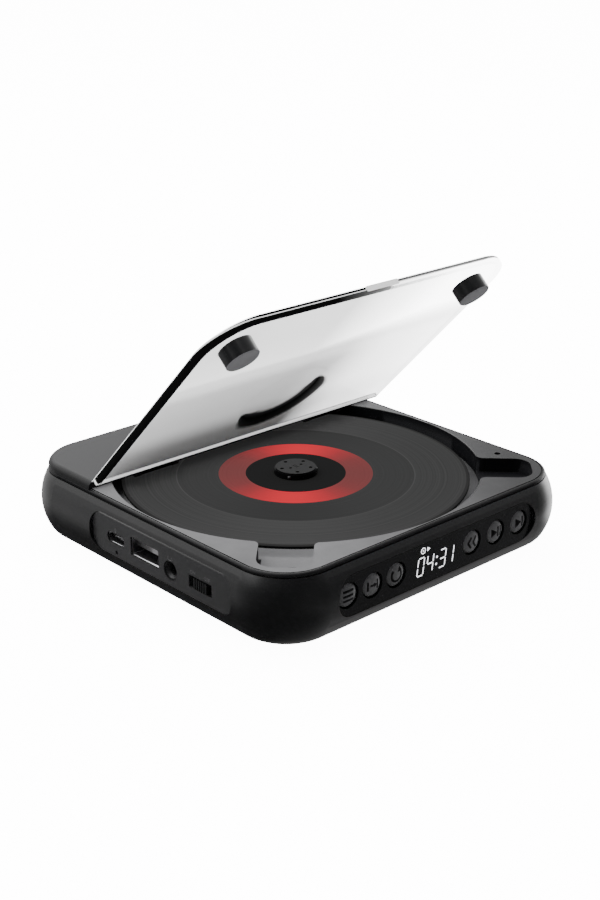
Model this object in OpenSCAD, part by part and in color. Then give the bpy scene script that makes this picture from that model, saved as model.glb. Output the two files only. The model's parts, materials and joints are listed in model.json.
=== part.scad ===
// Portable disc player with a clear hinged lid, a round disc well in its deck,
// a front window with a display and six keys, and a port panel on its left side.
// The origin is the centre of the case on the surface it stands on.
// The front faces -Y, the ports face -X and +Z is up. The lid rests half open.

/* [Case] */
// Width of deck left beside the disc well, at the middle of the left and right sides
side_rim = 2.15; // [2:0.05:8]
// Width of deck left at the middle of the front and rear
front_rim = 2.15; // [2:0.05:8]
// Height from the underside of the shell to the deck surface
case_h = 25.7; // [25.2:0.1:29]
// Corner radius of the deck outline
corner_r = 17.3; // [16:0.1:20]
// Wall thickness of the lower shell
wall = 2; // [1.6:0.1:2.2]
// Radius of the bulging side, seen in section
side_r = 20; // [18:0.5:24]
// How far the side bulges past the deck outline
side_bulge = 3.1; // [2.8:0.1:4]
// Depth of the widest line of the side below the deck
bulge_drop = 11.8; // [11:0.1:12.5]
// Radius of the rounded bottom edge
bottom_r = 8; // [7:0.1:8.5]
// Height of the rubber feet below the shell
foot_h = 1; // [0.6:0.1:2]
// Diameter of a rubber foot
foot_d = 9; // [7:0.5:11]
// Depth of the recess that holds a foot
foot_recess = 0.8; // [0.4:0.1:1]
// Distance from the deck outline to a foot's centre
foot_inset = 20; // [19:0.5:24]

/* [Deck and disc] */
// Thickness of the deck plate
deck_t = 1.4; // [1.2:0.1:1.8]
// Radius of the rounded bead round the deck
deck_edge_r = 0.9; // [0.4:0.1:0.9]
// Disc diameter
disc_d = 120; // [116:0.5:120.5]
// Disc thickness
disc_t = 1.2; // [1:0.1:1.4]
// Diameter of the disc's centre hole
disc_hole_d = 15; // [14.6:0.1:16]
// Depth of the disc's upper face below the deck
disc_drop = 2.9; // [2.6:0.1:3.2]
// Radial gap between the disc and the well wall
well_gap = 3.6; // [2.5:0.1:3.9]
// Depth of the well floor below the deck
well_drop = 6.6; // [6.3:0.1:6.8]
// Thickness of the well wall
well_wall = 0.9; // [0.8:0.05:1]
// Thickness of the well floor and the pocket floors
well_floor_t = 1.2; // [1:0.1:1.3]
// Diameter of the sensor hole in the deck
sensor_hole_d = 2.2; // [1:0.1:2.6]

/* [Lid] */
// How far the lid stands out past the deck outline at each side
lid_over = 0.25; // [0:0.05:0.5]
// How far the closed lid stands out past the deck outline at the front
lid_lip = 3.45; // [2:0.05:4.5]
// Thickness of the lid at its rim
lid_t = 2.6; // [2.4:0.1:3]
// Thickness of the clear plate inside the rim
lid_plate_t = 1.7; // [1.3:0.1:2]
// Width of the stiffening rim under the lid
lid_rim_w = 1.8; // [1.2:0.1:3]
// Corner radius at the lid's front
lid_corner_r = 17; // [12:0.5:20]
// Gap between the closed lid and the deck
lid_gap = 0.3; // [0.2:0.05:0.5]
// Angle at which the lid rests open
lid_open = 46; // [0:1:88]
// Distance from the hinge axis to the rear of the deck outline
hinge_inset = 37.35; // [36:0.05:39]
// Diameter of a hinge pin
pin_d = 1.2; // [1:0.1:1.4]
// Distance of a hinge knuckle from the centre line
knuckle_x = 39; // [30:0.5:46]
// Width of a hinge knuckle
knuckle_w = 13; // [8:0.5:18]
// Width of the finger tab on the lid's front edge
tab_w = 13.5; // [8:0.5:24]
// How far the finger tab stands out
tab_out = 1; // [0.6:0.1:2]
// Radius of the round dimple under the lid
dimple_r = 17.5; // [12:0.5:22]
// Depth of the dimple
dimple_depth = 0.8; // [0.4:0.1:1]
// Diameter of a closing pad under the lid
pad_d = 11.4; // [10.6:0.1:12]
// Height of a closing pad
pad_h = 5.6; // [5.2:0.1:6.2]
// Distance from the side of the deck outline to a pad's centre
pad_side = 14.25; // [13.5:0.05:15]
// Distance from the front of the deck outline to a closed pad's centre
pad_front = 11.15; // [10.6:0.05:12]
// Gap under a closed pad in its pocket
pad_gap = 0.7; // [0.6:0.05:1]
// Diameter of the magnet in a pad
magnet_d = 9; // [7:0.5:10]
// Height of the magnet in a pad
magnet_h = 4; // [2:0.1:4.5]

/* [Rear cover] */
// Height of the rear cover above the deck
cover_h = 2.6; // [2.4:0.1:3.2]
// Wall thickness of the rear cover
cover_wall = 1.6; // [1.2:0.1:1.7]
// Radius of the cover's rounded upper edge
cover_edge_r = 2.4; // [1.4:0.1:2.4]
// Gap from the hinge axis to the cover's front edge
cover_setback = 1.8; // [1.7:0.1:2.4]

/* [Front window and keys] */
// Distance from the deck outline to an end of the front window
window_end = 20; // [19:0.1:22]
// Height of the front window
window_h = 14; // [13:0.1:14.4]
// Corner radius of the front window
window_r = 6.8; // [4:0.1:6.9]
// Sideways place of the window's centre
window_x = 0.6; // [0:0.05:0.8]
// Depth of the window's centre below the deck
window_drop = 11.8; // [11.6:0.05:12]
// Depth of the flat window face below the widest line of the shell
window_inset = 1.3; // [1.1:0.05:1.5]
// Diameter of a key cap
key_d = 7.8; // [7.2:0.1:8.2]
// Gap round a key cap in the window
key_gap = 0.45; // [0.3:0.05:0.5]
// Distance between the keys of the left group
left_pitch = 10.4; // [10.2:0.1:11]
// Distance between the keys of the right group
right_pitch = 11.7; // [10.2:0.1:12]
// How far a key stands out of the window
key_proud = 0.2; // [0.1:0.05:0.4]
// How far a key travels
key_travel = 0.6; // [0.4:0.1:0.8]
// Depth of the key row below the deck
key_drop = 11.4; // [11:0.1:11.8]

/* [Port panel] */
// Length of the port panel
panel_w = 72.2; // [71:0.5:76]
// Height of the port panel
panel_h = 13.7; // [13:0.1:14.6]
// Corner radius of the port panel
panel_r = 5.5; // [3:0.1:6.4]
// Distance from the front of the deck outline to the panel's front end
panel_end = 19.75; // [19:0.05:22]
// Depth of the panel's centre below the deck
panel_drop = 11.35; // [11.1:0.05:11.6]
// Depth of the flat panel face below the widest line of the shell
panel_inset = 1.3; // [1.1:0.05:1.5]
// Bore of the headphone jack
jack_bore_d = 3.6; // [3.5:0.05:3.7]
// Depth of the jack bore
jack_depth = 14; // [12:0.5:16]
// How far the power switch slides
switch_travel = 3.6; // [2:0.1:4]

/* [Drive] */
// Diameter of the hub that centres the disc
hub_d = 14.6; // [14:0.1:14.8]
// Depth of the hub's top below the deck
hub_drop = 0.6; // [0.4:0.1:1]
// Diameter of the platter under the disc
platter_d = 28; // [24:0.5:32]
// Diameter of the spindle shaft
spindle_d = 2; // [1.6:0.1:2.4]
// Diameter of the spindle motor
motor_d = 24.4; // [22:0.2:25]
// Height of the spindle motor
motor_h = 8; // [6.5:0.1:10]
// Depth of the chassis plate's underside below the deck
chassis_drop = 11.1; // [11:0.1:11.5]
// Thickness of the chassis plate
chassis_t = 1.2; // [1:0.1:1.4]
// Distance of the pickup from the spindle at the start of its travel
pickup_start = 24; // [23.5:0.1:25]
// Distance from the pickup to the disc's edge at the end of its travel
pickup_margin = 4; // [3.5:0.1:6]
// Diameter of a guide rod
rod_d = 3; // [2.6:0.1:3.2]
// Distance of a guide rod from the pickup's centre line
rod_offset = 13; // [12.8:0.1:13.6]
// Module of the feed gear teeth
gear_module = 0.5; // [0.45:0.01:0.5]
// Teeth of the feed pinion
pinion_teeth = 10; // [10:1:12]
// Teeth of the large feed gear
wheel_teeth = 36; // [30:1:36]
// Teeth of the small feed gear
step_teeth = 16; // [14:1:18]

/* [Hidden] */
$fn = 48;
sink = 0.5;      // how far a post or boss runs into the wall that it grows from
fit_gap = 0.2;   // gap between pieces that are assembled and stay still
bezel_gap = 0.12; // gap round the window and the port panel in the shell
flush_gap = 0.05; // how far their upper and lower edges lie under the shell's face
run_gap = 0.04;  // radial gap between a pin and the bore that turns on it
seat_gap = 0.03; // radial gap round a pin or a plate that is pressed in
far = 200;       // longer than the whole player, for cuts that run right through

black = "#1d1e20";
dark = "#2a2b2e";
steel = "#b9bcc0";
board_green = "#1f4d3a";

// Heights
floor_z = foot_h + wall;
deck_z = foot_h + case_h;
rim_z = deck_z - deck_t;
disc_top = deck_z - disc_drop;
disc_bottom = disc_top - disc_t;
hinge_z = deck_z + lid_gap + lid_t / 2;
lid_bottom = deck_z + lid_gap;
plate_bottom = lid_bottom + lid_t - lid_plate_t;
pad_bottom = plate_bottom - pad_h;
pocket_z = pad_bottom - pad_gap;
well_z = deck_z - well_drop;
well_under = well_z - well_floor_t;
key_z = deck_z - key_drop;
window_z = deck_z - window_drop;
panel_z = deck_z - panel_drop;
chassis_z = deck_z - chassis_drop;
chassis_top = chassis_z + chassis_t;

// Outlines
well_r = disc_d / 2 + well_gap;
well_out_r = well_r + well_wall;
case_w = 2 * (well_r + side_rim);
case_d = 2 * (well_r + front_rim);
hinge_y = case_d / 2 - hinge_inset;
lid_w = case_w + 2 * lid_over;
lid_front = case_d / 2 + lid_lip;
pad_x = case_w / 2 - pad_side;
pad_y = case_d / 2 - pad_front;
window_w = case_w - 2 * window_end;
panel_front_y = -case_d / 2 + panel_end;
panel_y = panel_front_y + panel_w / 2;
mech_angle = 45;
pickup_travel = disc_d / 2 - pickup_margin - pickup_start;

// Deck
pocket_lean = 1.7;     // degrees between a pocket's centre line and the line to its pad
pocket_side = 2.9;     // room beside a pad
pocket_end_gap = 0.4;  // room past a pad
pocket_corner_r = 5.5;
entry_r = 3;           // rounding where a pocket opens into the well
entry_cut = 0.06;      // how far inside the well that rounding ends
pocket_angle = atan2(pad_y, pad_x) - pocket_lean;
pocket_half = pad_d / 2 + pocket_side;
pocket_end = norm([pad_x, pad_y]) + pad_d / 2 + pocket_end_gap;
post_d = 7;
post_joint_z = floor_z + 9;
rear_post_inset = 12.75;
rear_x = case_w / 2 - rear_post_inset;
rear_y = case_d / 2 - rear_post_inset;
case_posts = [[pad_x, -pad_y], [-pad_x, -pad_y], [rear_x, rear_y], [-rear_x, rear_y]];
screw_d = 2.2;
screw_head_d = 4.4;
screw_head_h = 1.8;
screw_seat_z = floor_z + 3;
screw_l = 11;
screw_gap = 0.1;
sensor_at = [case_w / 2 - 6.65, -case_d / 2 + 25.25];
sensor_size = [4, 2.2, 3];
striker_t = 0.6;

// Side wall section
side_cx = side_bulge - side_r;
side_cz = deck_z - bulge_drop;
tangent_a = asin((foot_h + bottom_r - side_cz) / (side_r - bottom_r));
bottom_cx = side_cx + (side_r - bottom_r) * cos(tangent_a);

function arc(cx, cz, r, a0, a1, n) =
    [for (i = [0:n]) let (a = a0 + (a1 - a0) * i / n) [cx + r * cos(a), cz + r * sin(a)]];
function reversed(v) = [for (i = [len(v) - 1:-1:0]) v[i]];
function rounded_rect(w, h, r, n = 8) =
    [for (k = [0:3])
        each arc((k == 0 || k == 3 ? 1 : -1) * (w / 2 - r), (k < 2 ? 1 : -1) * (h / 2 - r),
                 r, 90 * k, 90 * k + 90, n)];

// The shell's section from its rim down to its flat underside, moved in by inset.
// Each point is an offset from the deck outline and a height.
function shell_section(inset) =
    let (rim_a = asin((rim_z - side_cz) / (side_r - inset)))
    concat(arc(side_cx, side_cz, side_r - inset, rim_a, tangent_a, 10),
           [for (i = [1:7])
               arc(bottom_cx, foot_h + bottom_r, bottom_r - inset, tangent_a, -90, 7)[i]]);

// A solid that follows a rounded rectangle, with the same section all the way round.
module rounded_body(section, w, d, r) {
    hx = w / 2 - r;
    hy = d / 2 - r;
    outer = [for (p = section) [r + p[0], p[1]]];
    top = section[0][1];
    base = section[len(section) - 1][1];
    half = concat([[0, top]], outer, [[0, base]]);
    whole = concat([for (p = outer) [hx + p[0], p[1]]],
                   [for (p = reversed(outer)) [-hx - p[0], p[1]]]);
    translate([0, hy, 0]) rotate([90, 0, 0]) linear_extrude(2 * hy) polygon(whole);
    for (turn = [0, 180]) rotate([0, 0, turn])
        translate([-hx, hy, 0]) rotate([90, 0, 90]) linear_extrude(2 * hx) polygon(half);
    for (k = [0:3])
        translate([(k == 0 || k == 3 ? 1 : -1) * hx, (k < 2 ? 1 : -1) * hy, 0])
            rotate([0, 0, 90 * k]) rotate_extrude(angle = 90) polygon(half);
}

// A band of the side wall between two depths under the shell's face.
module wall_band(depth0, depth1, length) {
    linear_extrude(length)
        polygon(concat(arc(side_cx, side_cz, side_r - depth0, 42, -42, 14),
                       reversed(arc(side_cx, side_cz, side_r - depth1, 42, -42, 14))));
}
module front_band(depth0, depth1, width) {
    translate([width / 2, -case_d / 2, 0]) rotate([90, 0, -90]) wall_band(depth0, depth1, width);
}
module left_band(depth0, depth1, width) {
    translate([-case_w / 2, -width / 2, 0]) rotate([90, 0, 180]) wall_band(depth0, depth1, width);
}
// A rounded bar that runs through the front wall, or through the left wall.
bar_start = 6;
module front_bar(x, z, w, h, r) {
    translate([x, -case_d / 2 + bar_start, z]) rotate([90, 0, 0])
        linear_extrude(far / 4) polygon(rounded_rect(w, h, r));
}
module left_bar(y, z, w, h, r) {
    translate([-case_w / 2 + bar_start, y, z]) rotate([0, -90, 0])
        linear_extrude(far / 4) polygon(rounded_rect(h, w, r));
}

// Places for things on the left side: local Z points out of the wall.
port_face_x = -(case_w / 2 + side_bulge - panel_inset);
module at_port(y, z) {
    translate([port_face_x, y, z]) rotate([0, -90, 0]) children();
}

// Lower shell
// A pocket's outline, drawn along +X from the disc's axis and grown by a wall.
function pocket_shape(grow) =
    let (r = well_r + grow - entry_cut, w = pocket_half + grow, f = entry_r - grow,
         end = pocket_end + grow, c = pocket_corner_r + grow,
         u = sqrt(pow(r + f, 2) - pow(w + f, 2)),
         entry = arc(u, w + f, f, 180 + atan2(w + f, u), 270, 6),
         inner = [r - 8, entry[0][1]])
    concat([[inner[0], -inner[1]]], [for (p = entry) [p[0], -p[1]]],
           arc(end - c, c - w, c, -90, 0, 6), arc(end - c, w - c, c, 0, 90, 6),
           reversed(entry), [inner]);
module pocket_outline(grow) {
    for (s = [-1, 1]) mirror([s > 0 ? 0 : 1, 0, 0]) rotate([0, 0, -pocket_angle])
        polygon(pocket_shape(grow));
}
module deck_relief() {
    translate([0, 0, well_under - fit_gap]) cylinder(r = well_out_r + fit_gap, h = far / 4, $fn = 96);
    translate([0, 0, pocket_z - well_floor_t - fit_gap])
        linear_extrude(far / 4) pocket_outline(well_wall + fit_gap);
}
module lower_shell() color(black) difference() {
    union() {
        difference() {
            rounded_body(shell_section(0), case_w, case_d, corner_r);
            rounded_body(concat([[shell_section(wall)[0][0], deck_z]], shell_section(wall)),
                         case_w, case_d, corner_r);
        }
        for (p = case_posts) translate([p[0], p[1], floor_z - sink])
            cylinder(d = post_d, h = post_joint_z - floor_z + sink);
        for (p = board_posts) translate([p[0], p[1], floor_z - sink])
            cylinder(d = board_post_d, h = board_z - floor_z + sink);
        for (x = board_rest_x) translate([display_x + x - board_rest[0] / 2, key_board_y - board_rest[1],
                                          floor_z - sink])
            cube([board_rest[0], key_board_t + 2 * board_rest[1],
                  key_board_z + board_rest[2] - floor_z + sink]);
        mech() for (p = damper_at) translate([p[0], p[1], floor_z - sink]) {
            cylinder(d = damper_post_d, h = chassis_z - damper_flange_t - floor_z + sink);
            cylinder(d = damper_pin_d, h = chassis_top + damper_flange_t - floor_z + sink);
        }
    }
    deck_relief();
    front_bar(window_x, window_z, window_w + 2 * bezel_gap, window_h + 2 * bezel_gap, window_r + bezel_gap);
    left_bar(panel_y, panel_z, panel_w + 2 * bezel_gap, panel_h + 2 * bezel_gap, panel_r + bezel_gap);
    for (p = case_posts) translate([p[0], p[1], 0]) {
        cylinder(d = screw_head_d + 1, h = screw_seat_z);
        cylinder(d = screw_d + 2 * fit_gap, h = far);
    }
    for (p = board_posts) translate([p[0], p[1], board_z - board_screw_l])
        cylinder(d = board_screw_d + 2 * screw_gap, h = far);
    translate([key_board_x - screw_gap, key_board_y - screw_gap, key_board_z])
        cube([key_board_w + 2 * screw_gap, key_board_t + 2 * screw_gap, key_board_h]);
    for (p = foot_at) translate([p[0], p[1], 0])
        cylinder(d = foot_d + 2 * seat_gap, h = foot_h + foot_recess);
}
foot_at = [for (sx = [-1, 1], sy = [-1, 1])
    [sx * (case_w / 2 - foot_inset), sy * (case_d / 2 - foot_inset)]];
module feet() color("#111111") for (p = foot_at) translate([p[0], p[1], 0]) rotate_extrude()
    polygon([[0, 0], [foot_d / 2 - foot_h / 2, 0], [foot_d / 2, foot_h / 2],
             [foot_d / 2, foot_h + foot_recess], [0, foot_h + foot_recess]]);
module case_screws() color(steel) for (p = case_posts) translate([p[0], p[1], screw_seat_z]) {
    translate([0, 0, -screw_head_h]) cylinder(d = screw_head_d, h = screw_head_h);
    cylinder(d = screw_d, h = screw_l);
}

// Deck
// The deck's edge from its flat top outwards: a groove, a rounded bead and the seam under it.
seam_h = 0.3;
seam_in = 0.5;
bead_w = 1.15;
bead_chamfer = 0.15;
groove_w = 0.35;
groove_d = 0.5;
edge_chamfer = 0.3;
deck_section = concat([[-bead_w - groove_w, deck_z], [-bead_w - groove_w, deck_z - groove_d],
                       [-bead_w, deck_z - groove_d], [-bead_w, deck_z - bead_chamfer],
                       [bead_chamfer - bead_w, deck_z]],
                      arc(-deck_edge_r, deck_z - deck_edge_r, deck_edge_r, 90, 0, 4),
                      [[0, rim_z + seam_h], [-seam_in, rim_z + seam_h], [-seam_in, rim_z]]);
module deck() color(dark) difference() {
    union() {
        rounded_body(deck_section, case_w, case_d, corner_r);
        translate([0, 0, well_under])
            cylinder(r = well_out_r, h = rim_z + sink - well_under, $fn = 96);
        translate([0, 0, pocket_z - well_floor_t])
            linear_extrude(rim_z + sink - pocket_z + well_floor_t)
                pocket_outline(well_wall);
        for (s = [-1, 1]) translate([s * pad_x, -pad_y, post_joint_z])
            cylinder(d = post_d, h = pocket_z - well_floor_t + sink - post_joint_z);
    }
    translate([0, 0, well_z]) cylinder(r = well_r, h = far, $fn = 96);
    translate([0, 0, deck_z - edge_chamfer])
        cylinder(r1 = well_r, r2 = well_r + 2 * edge_chamfer, h = 2 * edge_chamfer, $fn = 96);
    translate([0, 0, pocket_z]) linear_extrude(far) pocket_outline(0);
    mech() translate([0, 0, well_under - sink]) linear_extrude(well_floor_t + 2 * sink) pickup_slot();
    translate([sensor_at[0], sensor_at[1], rim_z - sink]) cylinder(d = sensor_hole_d, h = far);
    for (s = [-1, 1]) translate([s * pad_x, -pad_y, 0]) {
        cylinder(d = screw_d + 2 * screw_gap, h = screw_seat_z + screw_l + sink);
        translate([0, 0, pocket_z - striker_t]) cylinder(d = magnet_d + 2 * seat_gap, h = far);
    }
    for (s = [-1, 1]) translate([s * rear_x, rear_y, rim_z - sink])
        cylinder(d = post_d + 2 * fit_gap, h = far);
}
module striker_plates() color(steel) for (s = [-1, 1])
    translate([s * pad_x, -pad_y, pocket_z - striker_t]) cylinder(d = magnet_d, h = striker_t);
module lid_sensor() color("#101010")
    translate([sensor_at[0] - sensor_size[0] / 2, sensor_at[1] - sensor_size[1] / 2,
               rim_z - sensor_size[2]]) cube(sensor_size);

// Rear cover, hinge ears and pins
cover_y = hinge_y + cover_setback;
cover_top = deck_z + cover_h;
ear_w = 2.2;
ear_gap = 0.25;
ear_r = lid_t / 2 + 0.2;
ear_x = knuckle_w / 2 + ear_gap;
module rear_of(y) {
    translate([-far / 2, y, 0]) cube([far, far, far]);
}
module rear_cover() color(black) difference() {
    union() {
        difference() {
            intersection() {
                rounded_body(concat(arc(-cover_edge_r, cover_top - cover_edge_r, cover_edge_r, 90, 0, 6),
                                    [[0, deck_z]]), case_w, case_d, corner_r);
                rear_of(cover_y);
            }
            rounded_body([[-cover_wall, cover_top - cover_wall], [-cover_wall, deck_z - sink]],
                         case_w, case_d, corner_r);
        }
        for (s = [-1, 1]) translate([s * rear_x, rear_y, post_joint_z])
            cylinder(d = post_d, h = cover_top - cover_wall + sink - post_joint_z);
        for (s = [-1, 1], e = [-1, 1])
            translate([s * knuckle_x + e * (ear_x + ear_w / 2) - ear_w / 2, 0, 0]) ear();
    }
    for (s = [-1, 1]) translate([s * rear_x, rear_y, 0])
        cylinder(d = screw_d + 2 * screw_gap, h = screw_seat_z + screw_l + sink);
    hinge_bore(pin_d + 2 * seat_gap);
}
module ear() {
    translate([0, hinge_y, hinge_z]) rotate([0, 90, 0]) cylinder(r = ear_r, h = ear_w);
    translate([0, hinge_y, deck_z + lid_gap])
        cube([ear_w, cover_setback + cover_wall, cover_h - lid_gap - 0.3]);
}
module hinge_bore(d) {
    translate([-far / 2, hinge_y, hinge_z]) rotate([0, 90, 0]) cylinder(d = d, h = far, $fn = 32);
}
module hinge_pins() color(steel) for (s = [-1, 1])
    translate([s * knuckle_x - ear_x - ear_w, hinge_y, hinge_z]) rotate([0, 90, 0])
        cylinder(d = pin_d, h = 2 * (ear_x + ear_w), $fn = 32);

// Lid, modelled closed and swung open about the hinge
lid_rear_y = hinge_y - ear_r - 0.4;
lid_edge_r = 0.8;
lid_foot_r = 0.3;
dimple_y = hinge_y - 30.4;
dimple_slope = 2;
module opened() {
    translate([0, hinge_y, hinge_z]) rotate([-lid_open, 0, 0])
        translate([0, -hinge_y, -hinge_z]) children();
}
module lid() color("#dfe4e8", 0.35) opened() difference() {
    union() {
        difference() {
            rounded_body(concat(arc(-lid_edge_r, lid_bottom + lid_t - lid_edge_r, lid_edge_r, 90, 0, 4),
                                [[0, lid_bottom + lid_foot_r], [-lid_foot_r, lid_bottom]]),
                         lid_w, 2 * lid_front, lid_corner_r);
            rear_of(lid_rear_y);
            difference() {
                rounded_body([[-lid_rim_w, plate_bottom], [-lid_rim_w, lid_bottom - sink]],
                             lid_w, 2 * lid_front, lid_corner_r);
                rear_of(lid_rear_y - lid_rim_w);
            }
        }
        for (s = [-1, 1]) translate([s * knuckle_x - knuckle_w / 2, 0, 0]) {
            translate([0, hinge_y, hinge_z]) rotate([0, 90, 0]) cylinder(d = lid_t, h = knuckle_w);
            translate([0, lid_rear_y - sink, lid_bottom])
                cube([knuckle_w, hinge_y - lid_rear_y + sink, lid_t]);
        }
        translate([-tab_w / 2, -lid_front - tab_out, lid_bottom + lid_foot_r])
            cube([tab_w, tab_out + lid_rim_w, lid_plate_t]);
    }
    translate([0, dimple_y, plate_bottom - sink])
        cylinder(r = dimple_r, h = sink, $fn = 96);
    translate([0, dimple_y, plate_bottom])
        cylinder(r1 = dimple_r, r2 = dimple_r - dimple_slope, h = dimple_depth, $fn = 96);
    hinge_bore(pin_d + 2 * run_gap);
}
pad_chamfer = 0.4;
module lid_pads() color("#222326") opened() for (s = [-1, 1])
    translate([s * pad_x, -pad_y, pad_bottom]) difference() {
        rotate_extrude() polygon([[0, 0], [pad_d / 2 - pad_chamfer, 0], [pad_d / 2, pad_chamfer],
                                  [pad_d / 2, pad_h], [0, pad_h]]);
        translate([0, 0, pad_h - magnet_h]) cylinder(d = magnet_d + 2 * seat_gap, h = magnet_h + sink);
    }
module lid_magnets() color(steel) opened() for (s = [-1, 1])
    translate([s * pad_x, -pad_y, plate_bottom - magnet_h]) cylinder(d = magnet_d, h = magnet_h);

// Front window, display and keys
window_flange = 1.2;
window_back = wall + 0.6;
flange_gap = 0.08;
left_key_in = 4.8;
right_key_in = 7.25;
key_x = concat(
    [for (i = [0:2]) window_x - window_w / 2 + left_key_in + i * left_pitch],
    [for (i = [2:-1:0]) window_x + window_w / 2 - right_key_in - i * right_pitch]);
key_flange_d = key_d + 2 * key_gap + 0.9;
key_flange_t = 0.8;
key_back_in = 1.4;
key_back_y = -case_d / 2 + key_back_in;
window_face_y = -case_d / 2 - side_bulge + window_inset;
key_face_y = window_face_y - key_proud;
key_crown = 1;
switch_gap = 0.3;
switch_h = 1.2;
switch_size = 3;
key_board_y = key_back_y + key_travel + switch_gap + switch_h;
key_board_t = 1.2;
key_board_top = well_under - fit_gap;
key_board_h = 10;
key_board_z = key_board_top - key_board_h;
key_board_over = 1;
key_board_w = window_w + 2 * key_board_over;
key_board_x = window_x - key_board_w / 2;
board_rest = [4, 1.6, 2];
board_rest_x = [-8, 8];
display_x = (key_x[2] + key_x[3]) / 2;
display_w = key_x[3] - key_x[2] - key_flange_d - 1.5;
display_t = 2.6;
display_foot = 0.6;
module front_window() color("#141517") difference() {
    union() {
        intersection() {
            front_band(flush_gap, window_back, case_w - 2 * corner_r + 4);
            front_bar(window_x, window_z, window_w, window_h, window_r);
            rear_of(window_face_y);
        }
        intersection() {
            front_band(wall + flange_gap, window_back, case_w - 2 * corner_r + 4);
            front_bar(window_x, window_z, window_w + 2 * window_flange,
                      window_h + 2 * window_flange, window_r + window_flange);
        }
    }
    deck_relief();
    for (x = key_x) translate([x, 0, key_z]) rotate([90, 0, 0])
        cylinder(d = key_d + 2 * key_gap, h = far);
}
module key(i) color("#3a3b3e") translate([key_x[i], key_back_y, key_z]) rotate([90, 0, 0])
    rotate_extrude() polygon(concat(
        [[0, 0], [key_flange_d / 2, 0], [key_flange_d / 2, key_flange_t], [key_d / 2, key_flange_t]],
        key_crown_curve(key_back_y - key_face_y)));
// The key's face: a shallow crown that meets the side at a rounded rim.
function key_crown_curve(h) = [for (i = [0:6]) let (a = 90 * i / 6)
    [key_d / 2 * cos(a), h - key_crown + key_crown * sin(a)]];
module key_menu() key(0);
module key_section() key(1);
module key_repeat() key(2);
module key_back() key(3);
module key_play() key(4);
module key_next() key(5);
module key_board() color(board_green) {
    translate([key_board_x, key_board_y, key_board_z]) cube([key_board_w, key_board_t, key_board_h]);
    for (x = key_x) translate([x - switch_size / 2, key_board_y - switch_h, key_z - switch_size / 2])
        cube([switch_size, switch_h + sink, switch_size]);
}
module display_module() color("#0d0e10")
    translate([display_x - display_w / 2, key_board_y - display_t, key_board_z + display_foot])
        cube([display_w, display_t, key_board_h - display_foot]);

// Port panel and what sits behind it
usb_c = [panel_y + 23.2, deck_z - 11.8];
usb_a = [panel_y + 7.8, deck_z - 11.3];
jack = [panel_y - 5.5, deck_z - 12.8];
power = [panel_y - 20.3, deck_z - 12.7];
light = [panel_y + 23, deck_z - 16.5];
usb_c_size = [3.9, 9.3];
usb_a_size = [6.5, 14.7];
switch_slot = [4.2, 11.1];
jack_nose_d = 6.3;
jack_mouth_d = 5.6;
jack_lead = 1.2;
jack_nose_l = 3.4;
light_d = 1.2;
light_in = 0.2;
light_l = 3.7;
light_foot = [3.4, 3.2, 1.6];
port_recess = 0.5;
socket_lip = 1.1; // share of a socket's sheet that its flared lips take
board_drop = 15.3;
board_t = 1.2;
board_top = deck_z - board_drop;
board_z = board_top - board_t;
board_edge_x = -case_w / 2 + 2.2;
board_w = 24;
board_y0 = panel_front_y + 2;
board_l = panel_w + 1.8;
board_post_d = 5;
board_screw_d = 1.8;
board_screw_l = 5;
board_hole_inset = 3.2;
board_posts = [for (x = [board_hole_inset, board_w - board_hole_inset],
                    y = [board_hole_inset, board_l - board_hole_inset])
    [board_edge_x + x, board_y0 + y]];
panel_back = wall + 0.6;
module port_panel() color("#232427") difference() {
    union() {
        intersection() {
            left_band(flush_gap, panel_back, case_d - 2 * corner_r + 2);
            left_bar(panel_y, panel_z, panel_w, panel_h, panel_r);
            translate([port_face_x, -far / 2, 0]) cube(far);
        }
        intersection() {
            left_band(wall + flange_gap, panel_back, case_d - 2 * corner_r + 2);
            left_bar(panel_y, panel_z, panel_w + 2, panel_h + 2, panel_r + 1);
        }
    }
    deck_relief();
    left_bar(usb_c[0], usb_c[1], usb_c_size[1], usb_c_size[0], usb_c_size[0] / 2 - 0.05);
    left_bar(usb_a[0], usb_a[1], usb_a_size[1], usb_a_size[0], 0.6);
    left_bar(power[0], power[1], switch_slot[1], switch_slot[0], 0.4);
    at_port(jack[0], jack[1]) translate([0, 0, -far / 2]) cylinder(d = jack_nose_d + 2 * fit_gap, h = far);
    at_port(light[0], light[1]) translate([0, 0, -10]) cylinder(d = light_d + 2 * screw_gap, h = far);
}
// A metal socket: a drawn shell with a tongue inside and a block that lifts it off the board.
module socket(size, r, skin, depth, tongue) {
    translate([0, 0, -port_recess - depth]) {
        difference() {
            linear_extrude(depth) polygon(rounded_rect(size[0], size[1], r));
            translate([0, 0, 1]) linear_extrude(depth)
                polygon(rounded_rect(size[0] - 2 * skin, size[1] - 2 * skin, max(r - skin, 0.2)));
            for (e = [-1, 1]) translate([e * (size[0] / 2 - skin), 0, depth]) rotate([0, 45, 0])
                cube([socket_lip * skin, size[1] - 2 * r, socket_lip * skin], center = true);
        }
        translate([tongue[2] - tongue[0] / 2, -tongue[1] / 2, 0])
            cube([tongue[0], tongue[1], depth - 1.2]);
    }
}
module usb_c_socket() color(steel) {
    at_port(usb_c[0], usb_c[1])
        socket([usb_c_size[0] - 2 * fit_gap, usb_c_size[1] - 2 * fit_gap],
               usb_c_size[0] / 2 - fit_gap - 0.05, 0.3, 7.4, [0.7, 6.6, 0]);
    translate([board_edge_x + 0.6, usb_c[0] - 3.2, board_top])
        cube([4, 6.4, usb_c[1] - usb_c_size[0] / 2 + fit_gap - board_top]);
}
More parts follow.
